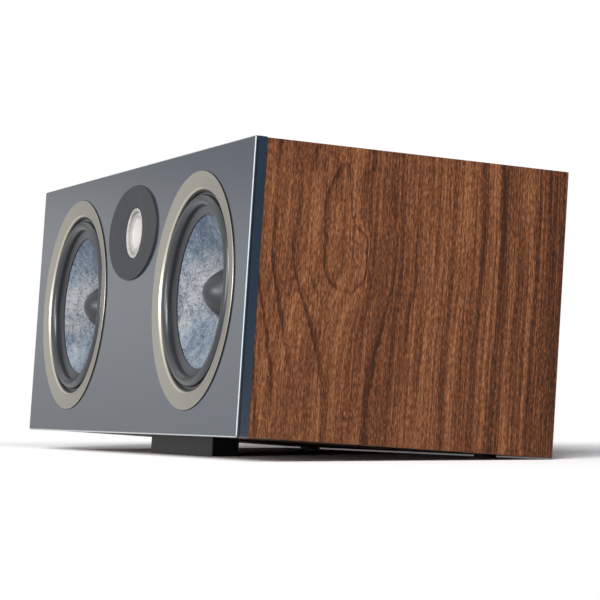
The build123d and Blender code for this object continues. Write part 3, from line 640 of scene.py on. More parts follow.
def fibre_cone(side, colours):
    """Pressed pulp with dark and pale fibres, bluer above and below its middle and darkest at the top:
    partly the pulp's own tone, partly painted shade.
    """
    middle = woofer_axis[side].dot(upward) - cabinet_foot
    fibre_turns = (12.0, 63.0, 118.0, 158.0)
    fibre_bend = 0.0016

    def draw(bench):
        place = bench.cabinet()
        x, depth, height = bench.split(place)
        patch = bench.noise(place, 19.0, 2.0, 0.5, 0.9)
        clump = bench.noise(place, 44.0, 5.0, 0.62, 1.6)
        speck = bench.noise(place, 420.0, 3.0, 0.65)
        bend = fibre_bend * bench.noise(place, 90.0, 1.0)
        fibres = 0.0
        pale_fibres = 0.0
        for turn in fibre_turns:
            along = math.cos(math.radians(turn))
            over = math.sin(math.radians(turn))
            lengthwise = x * along + height * over
            sideways = height * along - x * over + bend
            field = bench.drawn_out(sideways, lengthwise, (1150.0, 105.0), turn, 1.0)
            fibres = fibres + bench.smooth(field, 0.57, 0.72)
            pale_fibres = pale_fibres + bench.smooth(1.0 - field, 0.58, 0.72)
        fibres = bench.math("MINIMUM", fibres, 1.0)
        web = bench.cells(bench.join(x, depth, height + 0.02 * clump), 46.0, "DISTANCE_TO_EDGE")
        veins = 1.0 - bench.smooth(web, 0.0, 0.10)
        level = height - middle + 0.07 * (clump - 0.5) + 0.05 * (patch - 0.5)
        # Darker towards the top: partly the pulp's own tone, partly painted shade.
        top = bench.smooth(level, 0.008, 0.050)
        tone = 0.60 + 1.35 * (patch - 0.5) + 0.80 * (clump - 0.5) + 0.75 * (speck - 0.5)
        tone = tone - 0.45 * top - 0.36 * fibres + 0.20 * pale_fibres - 0.22 * veins * speck
        stops = [
            (0.08, colours.cone_dark),
            (0.62, shade(colours.cone_light, 0.78)),
            (0.98, colours.cone_light),
        ]
        pulp = bench.ramp(tone, stops)
        # Bluer above and below the middle: partly the pulp's own tint, partly painted shade.
        off_middle = bench.smooth(bench.math("ABSOLUTE", level), 0.012, 0.048)
        blue_tint_and_shade = bench.noise(bench.join(x, depth, height + 0.9), 15.0, 2.0) + 0.26 * (off_middle - 0.4)
        blue_tint_and_shade = bench.smooth(blue_tint_and_shade, 0.42, 0.62)
        return {
            "Base Color": bench.mix(0.75 * blue_tint_and_shade, pulp, bench.tinted(pulp, colours.cone_blue)),
            "Roughness": 0.55 + 0.15 * (speck - 0.5) + 0.08 * fibres,
            "Normal": bench.bump(clump + 0.5 * speck + 0.4 * fibres, 0.00025, 0.55),
        }
    return finish(side + "_fibre_cone", draw)


def dust_cap(colour):
    """Satin grey cap with a fine pressed texture."""
    def draw(bench):
        place = bench.own()
        fine = bench.noise(place, 1900.0, 3.0, 0.6)
        cloud = bench.noise(place, 90.0, 3.0)
        return {
            "Base Color": bench.toned(cloud, colour, 0.85, 1.2),
            "Roughness": 0.36 + 0.10 * (cloud - 0.5) + 0.08 * (fine - 0.5),
            "Normal": bench.bump(fine, 0.00002, 0.7),
        }
    return finish("satin_dust_cap", draw)


def faceplate(colour, centre):
    """Moulded grey plate with faint rings about the dome and a fine mould texture."""
    ring_pitch = 0.0011

    def draw(bench):
        place = bench.own()
        radius, _, _ = bench.polar(centre)
        rings = bench.waves(radius, ring_pitch)
        mould = bench.noise(place, 1300.0, 3.0, 0.6)
        cloud = bench.noise(place, 50.0, 3.0)
        return {
            "Base Color": bench.toned(cloud, colour, 0.9, 1.15),
            "Roughness": 0.50 + 0.08 * (cloud - 0.5) + 0.06 * rings,
            "Specular IOR Level": 0.28,
            "Normal": bench.bump(0.6 * rings + mould, 0.00002, 0.8),
        }
    return finish("moulded_faceplate", draw)


def rimmed_bezel(colour, coat, centre, rim_radius):
    """Bezel with a bright rim, speckled inside it like the soft roll."""
    rim_blur = 0.0002

    def draw(bench):
        radius, _, _ = bench.polar(centre)
        rim = bench.smooth(radius, rim_radius - rim_blur, rim_radius + rim_blur)
        speck = bench.noise(bench.own(), 1500.0, 2.0, 0.6)
        dots = bench.toned(bench.smooth(speck, 0.36, 0.66), coat, 0.70, 1.20)
        return {
            "Base Color": bench.mix(rim, dots, colour),
            "Metallic": 0.9 * rim,
            "Roughness": 0.60 - 0.42 * rim + 0.06 * (speck - 0.5),
            "Normal": bench.bump(speck, 0.00006, 0.6),
        }
    return finish("rimmed_bezel", draw)


def speckled_roll(colour):
    """Coated cloth with pale and dark specks."""
    def draw(bench):
        place = bench.own()
        speck = bench.noise(place, 1500.0, 2.0, 0.6)
        clump = bench.noise(place, 420.0, 3.0, 0.6)
        tone = bench.smooth(0.6 * speck + 0.4 * clump, 0.36, 0.66)
        return {
            "Base Color": bench.toned(tone, colour, 0.70, 1.20),
            "Roughness": 0.62 + 0.2 * (speck - 0.5),
            "Normal": bench.bump(speck, 0.00008, 0.8),
        }
    return finish("speckled_roll", draw)


def woven_cloth(colour):
    """Resin soaked cloth with a plain weave."""
    thread_pitch = 0.0011

    def draw(bench):
        place = bench.cabinet()
        x, _, height = bench.split(place)
        warp = bench.math("SINE", x * (2.0 * math.pi / thread_pitch))
        weft = bench.math("SINE", height * (2.0 * math.pi / thread_pitch))
        weave = 0.5 + 0.5 * warp * weft
        cloud = bench.noise(place, 80.0, 3.0)
        body = bench.toned(weave, colour, 0.6, 1.2)
        return {
            "Base Color": bench.mix(0.5 * cloud, body, shade(colour, 0.7)),
            "Roughness": 0.62 + 0.15 * (cloud - 0.5),
            "Normal": bench.bump(weave, 0.0002, 0.8),
        }
    return finish("spider_cloth", draw)


def winding(name, colour, pitch):
    """Enamelled wire wound turn beside turn along the driver's depth."""
    def draw(bench):
        _, depth, _ = bench.split(bench.cabinet())
        turns = bench.waves(depth, pitch)
        cloud = bench.noise(bench.own(), 70.0, 2.0)
        return {
            "Base Color": bench.toned(turns, colour, 0.55, 1.1),
            "Metallic": 0.75 + 0.2 * turns,
            "Roughness": 0.30 + 0.12 * (cloud - 0.5),
            "Normal": bench.bump(turns, 0.25 * pitch, 0.8),
        }
    return finish(name, draw)


def ferrite(colour):
    """Ground ferrite: dark, dull and speckled."""
    def draw(bench):
        place = bench.own()
        speck = bench.noise(place, 900.0, 3.0, 0.7)
        cloud = bench.noise(place, 60.0, 3.0)
        return {
            "Base Color": bench.toned(speck, colour, 0.6, 1.6),
            "Roughness": 0.55 + 0.2 * (cloud - 0.5) + 0.1 * (speck - 0.5),
            "Normal": bench.bump(speck, 0.00006, 0.7),
        }
    return finish("ground_ferrite", draw)


# Finishes of the terminals and the crossover

def grip(name, colour):
    """Clear-coated knob plastic."""
    def draw(bench):
        place = bench.own()
        cloud = bench.noise(place, 160.0, 3.0)
        scuff = bench.smooth(bench.noise(place, 700.0, 3.0, 0.7), 0.6, 0.8)
        return {
            "Base Color": bench.toned(cloud, colour, 0.75, 1.25),
            "Roughness": 0.26 + 0.12 * (cloud - 0.5) + 0.15 * scuff,
            "Coat Weight": 0.35 - 0.2 * scuff,
            "Normal": bench.bump(scuff, 0.00001, 0.6),
        }
    return finish(name, draw)


def circuit(colour, copper):
    """Green board with the shadow of its copper runs under the coat."""
    def draw(bench):
        place = bench.cabinet()
        x, _, height = bench.split(place)
        paths = bench.noise(bench.join(x * 60.0, 0.0, height * 60.0), 1.0, 0.0)
        bands = bench.math("FRACT", paths * 6.0)
        runs = bench.smooth(bands, 0.30, 0.36) * (1.0 - bench.smooth(bands, 0.62, 0.68))
        weave = bench.noise(place, 1200.0, 2.0)
        dark = bench.toned(weave, colour, 0.7, 1.1)
        return {
            "Base Color": bench.mix(0.55 * runs, dark, shade(copper, 0.5)),
            "Roughness": 0.34 + 0.1 * (weave - 0.5),
            "Normal": bench.bump(runs, 0.00008, 0.7),
        }
    return finish("circuit_board", draw)


def wrap_film(colour):
    """Glossy wrapped film with soft wrinkles."""
    def draw(bench):
        place = bench.own()
        cloud = bench.noise(place, 55.0, 2.0, 0.5, 0.8)
        fine = bench.noise(place, 420.0, 3.0)
        return {
            "Base Color": bench.toned(cloud, colour, 0.75, 1.3),
            "Roughness": 0.24 + 0.12 * (fine - 0.5),
            "Normal": bench.bump(cloud + 0.2 * fine, 0.0003, 0.5),
        }
    return finish("capacitor_wrap", draw)


def cement(colour):
    """Cast cement with small pits."""
    def draw(bench):
        place = bench.own()
        pits = bench.smooth(bench.cells(place, 700.0), 0.12, 0.35)
        cloud = bench.noise(place, 200.0, 4.0, 0.65)
        return {
            "Base Color": bench.toned(cloud * pits, colour, 0.55, 1.15),
            "Roughness": 0.86 - 0.1 * pits,
            "Normal": bench.bump(pits, 0.0002, 0.7),
        }
    return finish("cast_cement", draw)


def lead_sleeve(red, black):
    """Sleeves of the leads, red or black by chance from lead to lead."""
    def draw(bench):
        place = bench.own()
        chance = bench.add("ShaderNodeNewGeometry", output="Random Per Island")
        first = bench.smooth(chance, 0.49, 0.51)
        cloud = bench.noise(place, 300.0, 3.0)
        return {
            "Base Color": bench.mix(first, shade(red, 0.7), shade(black, 1.2)),
            "Roughness": 0.42 + 0.15 * (cloud - 0.5),
            "Normal": bench.bump(cloud, 0.00003, 0.6),
        }
    return finish("lead_sleeves", draw)


def fluff(colour):
    """Polyester wadding: pale, matt and full of crossing fibres."""
    def draw(bench):
        place = bench.own()
        strands = 0.0
        for scales in ((900.0, 140.0, 120.0), (150.0, 160.0, 880.0), (620.0, 150.0, 640.0)):
            stretched = bench.add("ShaderNodeVectorMath", {"operation": "MULTIPLY"}, {0: place, 1: scales})
            strands = strands + bench.smooth(bench.noise(stretched, 1.0, 2.0), 0.45, 0.7)
        lumps = bench.noise(place, 60.0, 4.0, 0.6)
        tone = 0.25 * strands + 0.5 * lumps
        return {
            "Base Color": bench.toned(tone, colour, 0.7, 1.3),
            "Roughness": 0.94 - 0.08 * lumps,
            "Sheen Weight": 0.4,
            "Normal": bench.bump(tone, 0.0012, 0.7),
        }
    return finish("wadding_fluff", draw)


# Meshes

def place_mesh(name, mesh_work, material, sharp_degrees):
    """Makes a smooth object from finished mesh work."""
    bmesh.ops.recalc_face_normals(mesh_work, faces=mesh_work.faces)
    for face in mesh_work.faces:
        face.smooth = True
    mesh = bpy.data.meshes.new(name)
    mesh_work.to_mesh(mesh)
    mesh_work.free()
    mesh.set_sharp_from_angle(angle=math.radians(sharp_degrees))
    mesh.materials.append(material)
    piece = bpy.data.objects.new(name, mesh)
    bpy.context.scene.collection.objects.link(piece)
    return piece


def driver_point(centre, radius, angle, depth):
    """Point at a radius, an angle and a depth about a driver's axis."""
    round_axis = across * math.cos(angle) + upward * math.sin(angle)
    return centre + round_axis * radius + backward * depth


def add_turned(mesh_work, centre, outline, steps):
    """Turns a closed outline of (radius, depth) points about a driver's axis."""
    rings = []
    for index in range(steps):
        angle = 2.0 * math.pi * index / steps
        points = [driver_point(centre, radius, angle, depth) for radius, depth in outline]
        rings.append([mesh_work.verts.new(point) for point in points])
    for ring, following in zip(rings, rings[1:] + rings[:1]):
        for index in range(len(outline)):
            back = index - 1
            mesh_work.faces.new((ring[back], ring[index], following[index], following[back]))


def soften(mesh_work, width):
    """Rounds the sharp edges of mesh work."""
    sharp_angle = math.radians(35.0)
    sharp = [edge for edge in mesh_work.edges if edge.calc_face_angle(0.0) > sharp_angle]
    bmesh.ops.bevel(mesh_work, geom=sharp, offset=width, segments=3, profile=0.5, affect="EDGES")


def arc(middle_radius, middle_depth, size, start, stop, steps):
    """Points of an arc in a driver's outline, angles in degrees from outward towards the listener."""
    angles = [math.radians(start + (stop - start) * step / steps) for step in range(steps + 1)]
    return [(middle_radius + size * math.cos(a), middle_depth - size * math.sin(a)) for a in angles]


def follow_diaphragm(piece, body, centre, still_radius, moving_radius):
    """Bakes the placement of a ring of soft material into its mesh and reckons each vertex's radius about
    the driver's axis.
    """
    centre + backward
    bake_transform(piece)
    for vertex in piece.data.vertices:
        step = vertex.co - centre
        radius = (step - backward * step.dot(backward)).length
        share = (still_radius - radius) / (still_radius - moving_radius)
        share = min(1.0, max(0.0, share))
        share * share * (3.0 - 2.0 * share)


def surround_outline(sizes, front, back):
    """Outline of a half-roll surround, from its seat on the basket over the roll to its lip on the cone."""
    roll_steps = 28
    crest = sizes.surround_crest
    middle = sizes.surround_outer - sizes.surround_seat - crest
    hollow = crest - sizes.rubber
    base = front + crest
    skirt = middle - crest
    fall = sizes.surround_fall
    lip_front = back - sizes.rubber
    under_skirt = back - fall * (1.0 + sizes.rubber / sizes.surround_lip)
    outline = [(sizes.surround_outer, base + sizes.rubber), (sizes.surround_outer, base)]
    outline += arc(middle, base, crest, 0.0, 180.0, roll_steps)
    outline += [(skirt, lip_front - fall), (sizes.surround_inner, lip_front), (sizes.surround_inner, back)]
    outline += [(skirt + sizes.rubber, under_skirt)]
    outline += arc(middle, base, hollow, 180.0, 0.0, roll_steps)
    outline += [(middle + hollow, base + sizes.rubber)]
    return outline


def spider_outline(sizes, front, back):
    """Outline of a corrugated spider with a flat rim."""
    steps = 96
    inner = sizes.spider_inner
    waved = sizes.spider_outer - sizes.spider_rim - inner
    middle = (front + back) / 2
    swing = (back - front - sizes.spider_cloth) / 2
    line = []
    for step in range(steps + 1):
        turn = 2.0 * math.pi * sizes.spider_waves * step / steps
        line.append((inner + waved * step / steps, middle + swing * math.sin(turn)))
    line.append((sizes.spider_outer, middle))
    half = sizes.spider_cloth / 2
    faced = [(radius, depth - half) for radius, depth in line]
    backed = [(radius, depth + half) for radius, depth in reversed(line)]
    return faced + backed


def tweeter_roll_outline(sizes, inner, outer, front):
    """Outline of the soft roll round the dome, with the flat that its bezel clamps."""
    steps = 28
    seat = front + sizes.tweeter_rise
    line = []
    for step in range(steps + 1):
        share = step / steps
        rise = sizes.tweeter_rise * math.sin(math.pi * share)
        line.append((inner + sizes.tweeter_roll * share, seat - rise))
    line.append((outer, seat))
    backed = [(radius, depth + sizes.tweeter_cloth) for radius, depth in reversed(line)]
    return line + backed


def add_pad(mesh_work, low, high, sizes, seed):
    """A crowned pad of wadding between two corners in the cabinet's directions, flat on the back panel."""
    wide_steps = 60
    tall_steps = 64
    crown_reach = 0.022
    narrowing = 0.008
    lump_scale = 45.0
    tuft_scale = 160.0
    lump_share = 0.7
    wide = high[0] - low[0]
    tall = high[2] - low[2]

    def corner(share_x, share_z, front):
        place_x = low[0] + wide * share_x
        place_z = low[2] + tall * share_z
        edge = min(min(share_x, 1.0 - share_x) * wide, min(share_z, 1.0 - share_z) * tall)
        fall = sizes.wadding_crown * max(0.0, 1.0 - edge / crown_reach) ** 2
        lump = noise.noise(Vector((place_x * lump_scale, place_z * lump_scale, seed)))
        tuft = noise.noise(Vector((place_x * tuft_scale, place_z * tuft_scale, seed + 4.0)))
        dent = sizes.wadding_tuft * (lump_share * abs(lump) + (1.0 - lump_share) * abs(tuft))
        place_y = low[1] + fall + dent if front else high[1]
        place_x += (0.5 - share_x) * narrowing
        return across * place_x + backward * place_y + upward * place_z

    grids = []
    for front in (True, False):
        rows = []
        for row in range(tall_steps + 1):
            points = [corner(col / wide_steps, row / tall_steps, front) for col in range(wide_steps + 1)]
            rows.append([mesh_work.verts.new(point) for point in points])
        grids.append(rows)
    for rows in grids:
        for lower, upper in zip(rows, rows[1:]):
            for col in range(wide_steps):
                mesh_work.faces.new((lower[col], lower[col + 1], upper[col + 1], upper[col]))
    rims = []
    for rows in grids:
        rim = rows[0] + [row[-1] for row in rows[1:]] + rows[-1][-2::-1] + [row[0] for row in rows[-2:0:-1]]
        rims.append(rim)
    for index in range(len(rims[0])):
        back = index - 1
        mesh_work.faces.new((rims[0][back], rims[0][index], rims[1][index], rims[1][back]))


def add_screw(mesh_work, place, axis, head_radius, head_tall, shank_radius, tall, slot):
    """A pan-head wood screw with a cross recess, from the middle of its head's top along its axis."""
    side = axis.orthogonal().normalized()
    other = axis.cross(side)
    head_rings = 14
    around = 48
    crown = 0.45 * head_tall
    recess = 0.55 * head_tall
    arm = 0.62 * head_radius
    pitch = 1.2 * shank_radius
    root_radius = 0.78 * shank_radius
    root_place = 0.4 * pitch
    point_tall = 2.0 * shank_radius

    def put(radius, angle, depth):
        return mesh_work.verts.new(
            place + side * radius * math.cos(angle) + other * radius * math.sin(angle) + axis * depth
        )

    def crossed(radius, angle):
        first = abs(radius * math.cos(angle))
        second = abs(radius * math.sin(angle))
        return max(first, second) < arm and min(first, second) < slot / 2

    outline = []
    for step in range(1, head_rings + 1):
        share = step / head_rings
        outline.append((head_radius * share, crown * share ** 3))
    outline += [(head_radius, head_tall), (shank_radius, head_tall)]
    turns = int((tall - head_tall - point_tall) / pitch)
    for turn in range(turns):
        start = head_tall + turn * pitch
        outline += [(root_radius, start + root_place), (shank_radius, start + pitch)]
    rings = []
    for radius, depth in outline:
        ring = []
        for index in range(around):
            angle = 2.0 * math.pi * index / around
            sunk = recess if depth < head_tall and crossed(radius, angle) else 0.0
            ring.append(put(radius, angle, depth + sunk))
        rings.append(ring)
    centre = put(0.0, 0.0, recess)
    tip = put(0.0, 0.0, tall)
    for index in range(around):
        back = index - 1
        mesh_work.faces.new((centre, rings[0][back], rings[0][index]))
        mesh_work.faces.new((tip, rings[-1][index], rings[-1][back]))
        for ring, following in zip(rings, rings[1:]):
            mesh_work.faces.new((ring[back], following[back], following[index], ring[index]))


def separate_screws(node, second):
    """The vertices of each screw of a node, told apart by the side of the middle on which it lies."""
    low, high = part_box(node)
    middle = (low + high) / 2
    groups = {}
    for vertex in frame["nodes"][node].data.vertices:
        step = vertex.co - middle
        key = (step.dot(across) > 0.0, step.dot(second) > 0.0)
        groups.setdefault(key, []).append(vertex.co)
    return [groups[key] for key in sorted(groups)]


def make_screws(name, node, axis, second, material, sizes):
    """Cross-head screws in place of a node's plain ones."""
    rim_share = 0.98
    below_head = 0.0005
    mesh_work = bmesh.new()
    for points in separate_screws(node, second):
        depths = [point.dot(axis) for point in points]
        top = min(depths)
        tall = max(depths) - top
        lines = [point - axis * point.dot(axis) for point in points]
        middle = Vector([(min(part) + max(part)) / 2 for part in zip(*lines)])
        radii = [(line - middle).length for line in lines]
        head_radius = max(radii)
        rim = [depth - top for depth, radius in zip(depths, radii) if radius > rim_share * head_radius]
        head_tall = max(rim)
        shank = [radius for depth, radius in zip(depths, radii) if depth - top > head_tall + below_head]
        place = middle + axis * top
        add_screw(mesh_work, place, axis, head_radius, head_tall, max(shank), tall, sizes.screw_slot)
    piece = place_mesh(name, mesh_work, material, sharp_degrees=32.0)
    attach(piece, "cabinet")
    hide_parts(node)


# Operators

class SpeakerOperator(bpy.types.Operator):
    """What the steps share."""

    bl_options = {"REGISTER", "UNDO"}

    def settings(self, context):
        """Sizes and colours of the scene."""
        return context.scene.speaker_sizes, context.scene.speaker_colours


class SPEAKER_OT_cabinet(SpeakerOperator):
    """Lacquers the baffle, veneers the four panels and covers the back"""

    bl_idname = "speaker.cabinet"
    bl_label = "Cabinet"

    def execute(self, context):
        sizes, colours = self.settings(context)
        wide = 2.0 * cabinet_half_wide
        dress(lacquer(colours.lacquer, colours.painted_arris_highlight, sizes.arris), "front_baffle")
        wraps = {
            "right_side_panel": lambda x, height: height,
            "top_panel": lambda x, height: cabinet_tall + cabinet_half_wide - x,
            "left_side_panel": lambda x, height: 2.0 * cabinet_tall + wide - height,
            "bottom_panel": lambda x, height: x - cabinet_half_wide,
        }
        satin = 0.50
        sealed = 0.18
        for node, grain_place in wraps.items():
            roughness = sealed if node == "bottom_panel" else satin
            dress(walnut("walnut_" + node, colours, grain_place, roughness), node)
        dress(back_vinyl(colours.board), "back_panel")
        dress(fibreboard(colours.fibreboard), "braces")
        return {"FINISHED"}


class SPEAKER_OT_feet(SpeakerOperator):
    """Finishes the front foot and the rear pads"""

    bl_idname = "speaker.feet"
    bl_label = "Foot and pads"

    def execute(self, context):
        colours = context.scene.speaker_colours
        foot_black = shade(colours.plastic, 0.4)
        foot = moulded("foot_plastic", foot_black, roughness=0.34, grain=900.0, relief=0.00002, shine=0.13)
        pads = moulded("pad_rubber", colours.rubber, roughness=0.68, grain=1100.0, relief=0.00008)
        dress(foot, "front_foot")
        dress(pads, "rear_pads")
        return {"FINISHED"}


class SPEAKER_OT_woofers(SpeakerOperator):
    """Finishes the woofers' rings, baskets, cones, caps, coils and motors"""

    bl_idname = "speaker.woofers"
    bl_label = "Woofers"

    def execute(self, context):
        sizes, colours = self.settings(context)
        basket = moulded("basket_coat", colours.rubber, roughness=0.50, grain=700.0, relief=0.00006)
        cap = dust_cap(colours.cap)
        coil = winding("voice_coil_wire", colours.copper, pitch=0.00035)
        magnet = ferrite(colours.ferrite)
        for side, centre in woofer_axis.items():
            plate = turned_metal(side + "_zinc_plate", colours.steel, 0.34, centre, pitch=0.0004)
            ring_size = round_size(side + "_trim_ring", centre)
            bevel_radius = ring_size.inner + sizes.ring_bevel
            ring = ring_coat(side, colours.champagne, colours.ring_bevel_highlight, bevel_radius, ring_size.outer)
            dress(ring, side + "_trim_ring")
            dress(basket, side + "_basket")
            dress(fibre_cone(side, colours), side + "_cone")
            dress(cap, side + "_dust_cap")
            dress(coil, side + "_voice_coil")
            dress(plate, side + "_top_plate", side + "_back_plate")
            dress(magnet, side + "_magnet")
        return {"FINISHED"}


class SPEAKER_OT_surrounds(SpeakerOperator):
    """Makes the half-roll rubber surrounds of the woofers"""

    bl_idname = "speaker.surrounds"
    bl_label = "Surrounds"

    def execute(self, context):
        sizes, colours = self.settings(context)
        rubber = surround_rubber(colours.rubber)
        outline = surround_outline(sizes, surround_size.front, surround_size.back)
        for side, centre in woofer_axis.items():
            mesh_work = bmesh.new()
            add_turned(mesh_work, centre, outline, steps=176)
            soften(mesh_work, width=0.0003)
            piece = place_mesh(side + "_rubber_surround", mesh_work, rubber, sharp_degrees=50.0)
            still = sizes.surround_outer - sizes.surround_seat
            moving = still - 2.0 * sizes.surround_crest
            follow_diaphragm(piece, side + "_diaphragm", centre, still, moving)
            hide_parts(side + "_surround")
        return {"FINISHED"}


class SPEAKER_OT_spiders(SpeakerOperator):
    """Makes the corrugated cloth spiders of the woofers"""

    bl_idname = "speaker.spiders"
    bl_label = "Spiders"

    def execute(self, context):
        sizes, colours = self.settings(context)
        cloth = woven_cloth(colours.cloth)
        outline = spider_outline(sizes, spider_size.front, spider_size.back)
        for side, centre in woofer_axis.items():
            mesh_work = bmesh.new()
            add_turned(mesh_work, centre, outline, steps=144)
            piece = place_mesh(side + "_cloth_spider", mesh_work, cloth, sharp_degrees=50.0)
            still = sizes.spider_outer - sizes.spider_rim
            follow_diaphragm(piece, side + "_diaphragm", centre, still, sizes.spider_inner)
            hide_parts(side + "_spider")
        return {"FINISHED"}


class SPEAKER_OT_tweeter(SpeakerOperator):
    """Finishes the tweeter's plate, bezel, dome and motor and makes the soft roll round the dome"""

    bl_idname = "speaker.tweeter"
    bl_label = "Tweeter"

    def execute(self, context):
        sizes, colours = self.settings(context)
        dress(faceplate(colours.plate, tweeter_axis), "tweeter_faceplate")
        rim_radius = round_size("tweeter_bezel", tweeter_axis).outer - sizes.bezel_rim
        dress(rimmed_bezel(colours.bezel, colours.roll, tweeter_axis, rim_radius), "tweeter_bezel")
        dress(satin_metal("dome_metal", colours.dome, roughness=0.30, metallic=0.85), "tweeter_dome")
        dress(winding("tweeter_coil_wire", colours.copper, pitch=0.0002), "tweeter_voice_coil")
        plate = turned_metal("tweeter_zinc_plate", colours.steel, 0.34, tweeter_axis, pitch=0.0004)
        dress(plate, "tweeter_top_plate", "tweeter_back_plate")
        dress(ferrite(colours.ferrite), "tweeter_magnet")
        inner, outer, front, _ = tweeter_surround_size
        mesh_work = bmesh.new()
        add_turned(mesh_work, tweeter_axis, tweeter_roll_outline(sizes, inner, outer, front), steps=128)
        piece = place_mesh("tweeter_soft_roll", mesh_work, speckled_roll(colours.roll), sharp_degrees=50.0)
        follow_diaphragm(piece, "tweeter_diaphragm", tweeter_axis, inner + sizes.tweeter_roll, inner)
        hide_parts("tweeter_surround")
        return {"FINISHED"}


class SPEAKER_OT_terminals(SpeakerOperator):
    """Finishes the terminal plate, the binding posts with their knobs, and the port"""

    bl_idname = "speaker.terminals"
    bl_label = "Terminals and port"

    def execute(self, context):
        colours = context.scene.speaker_colours
        mould = moulded("terminal_plastic", colours.plastic, roughness=0.46, grain=800.0, relief=0.00008)
        plated = satin_metal("plated_brass", colours.brass, roughness=0.20, metallic=0.98)
        dress(mould, "terminal_plate", "port_tube")
        dress(plated, "red_post", "black_post", "red_washer", "black_washer", "post_nuts")
        dress(grip("red_knob_plastic", colours.red), "red_knob")
        dress(grip("black_knob_plastic", colours.plastic), "black_knob")
        return {"FINISHED"}


class SPEAKER_OT_screws(SpeakerOperator):
    """Makes the cross-head screws of the terminal plate and the foot and blackens the hidden ones"""

    bl_idname = "speaker.screws"
    bl_label = "Screws"

    def execute(self, context):
        sizes, colours = self.settings(context)
        black = satin_metal("black_oxide_steel", shade(colours.steel, 0.06), roughness=0.34, metallic=0.80)
        make_screws("terminal_cross_screws", "terminal_screws", forward, upward, black, sizes)
        make_screws("foot_cross_screws", "foot_screws", upward, backward, black, sizes)
        dress(black, "woofer_screws", "tweeter_screws", "board_screws")
        return {"FINISHED"}


class SPEAKER_OT_crossover(SpeakerOperator):
    """Finishes the crossover board, its parts and the leads"""

    bl_idname = "speaker.crossover"
    bl_label = "Crossover"

    def execute(self, context):
        colours = context.scene.speaker_colours
        spacers = moulded("spacer_nylon", colours.nylon, roughness=0.44, grain=900.0, relief=0.00004)
        coils = winding("filter_coil_wire", colours.copper, pitch=0.0011)
        dress(circuit(colours.circuit, colours.copper), "crossover_board")
        dress(spacers, "board_spacers")
        dress(coils, "woofer_filter_coil", "tweeter_filter_coil")
        dress(wrap_film(colours.film), "capacitors")
        dress(cement(colours.cement), "resistors")
        dress(lead_sleeve(colours.red, colours.plastic), "input_leads", "driver_leads")
        return {"FINISHED"}


class SPEAKER_OT_wadding(SpeakerOperator):
    """Makes the two pads of wadding on the back panel"""

    bl_idname = "speaker.wadding"
    bl_label = "Wadding"

    def execute(self, context):
        sizes, colours = self.settings(context)
        points = [vertex.co for vertex in frame["nodes"]["wadding"].data.vertices]
        mesh_work = bmesh.new()
        for side in (-1.0, 1.0):
            own = [point for point in points if point.x * side > 0.0]
            places = [(p.dot(across), p.dot(backward), p.dot(upward)) for p in own]
            low = [min(part) for part in zip(*places)]
            high = [max(part) for part in zip(*places)]
            add_pad(mesh_work, low, high, sizes, 3.0 + side)
        piece = place_mesh("wadding_pads", mesh_work, fluff(colours.wadding), sharp_degrees=80.0)
        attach(piece, "cabinet")
        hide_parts("wadding")
        return {"FINISHED"}


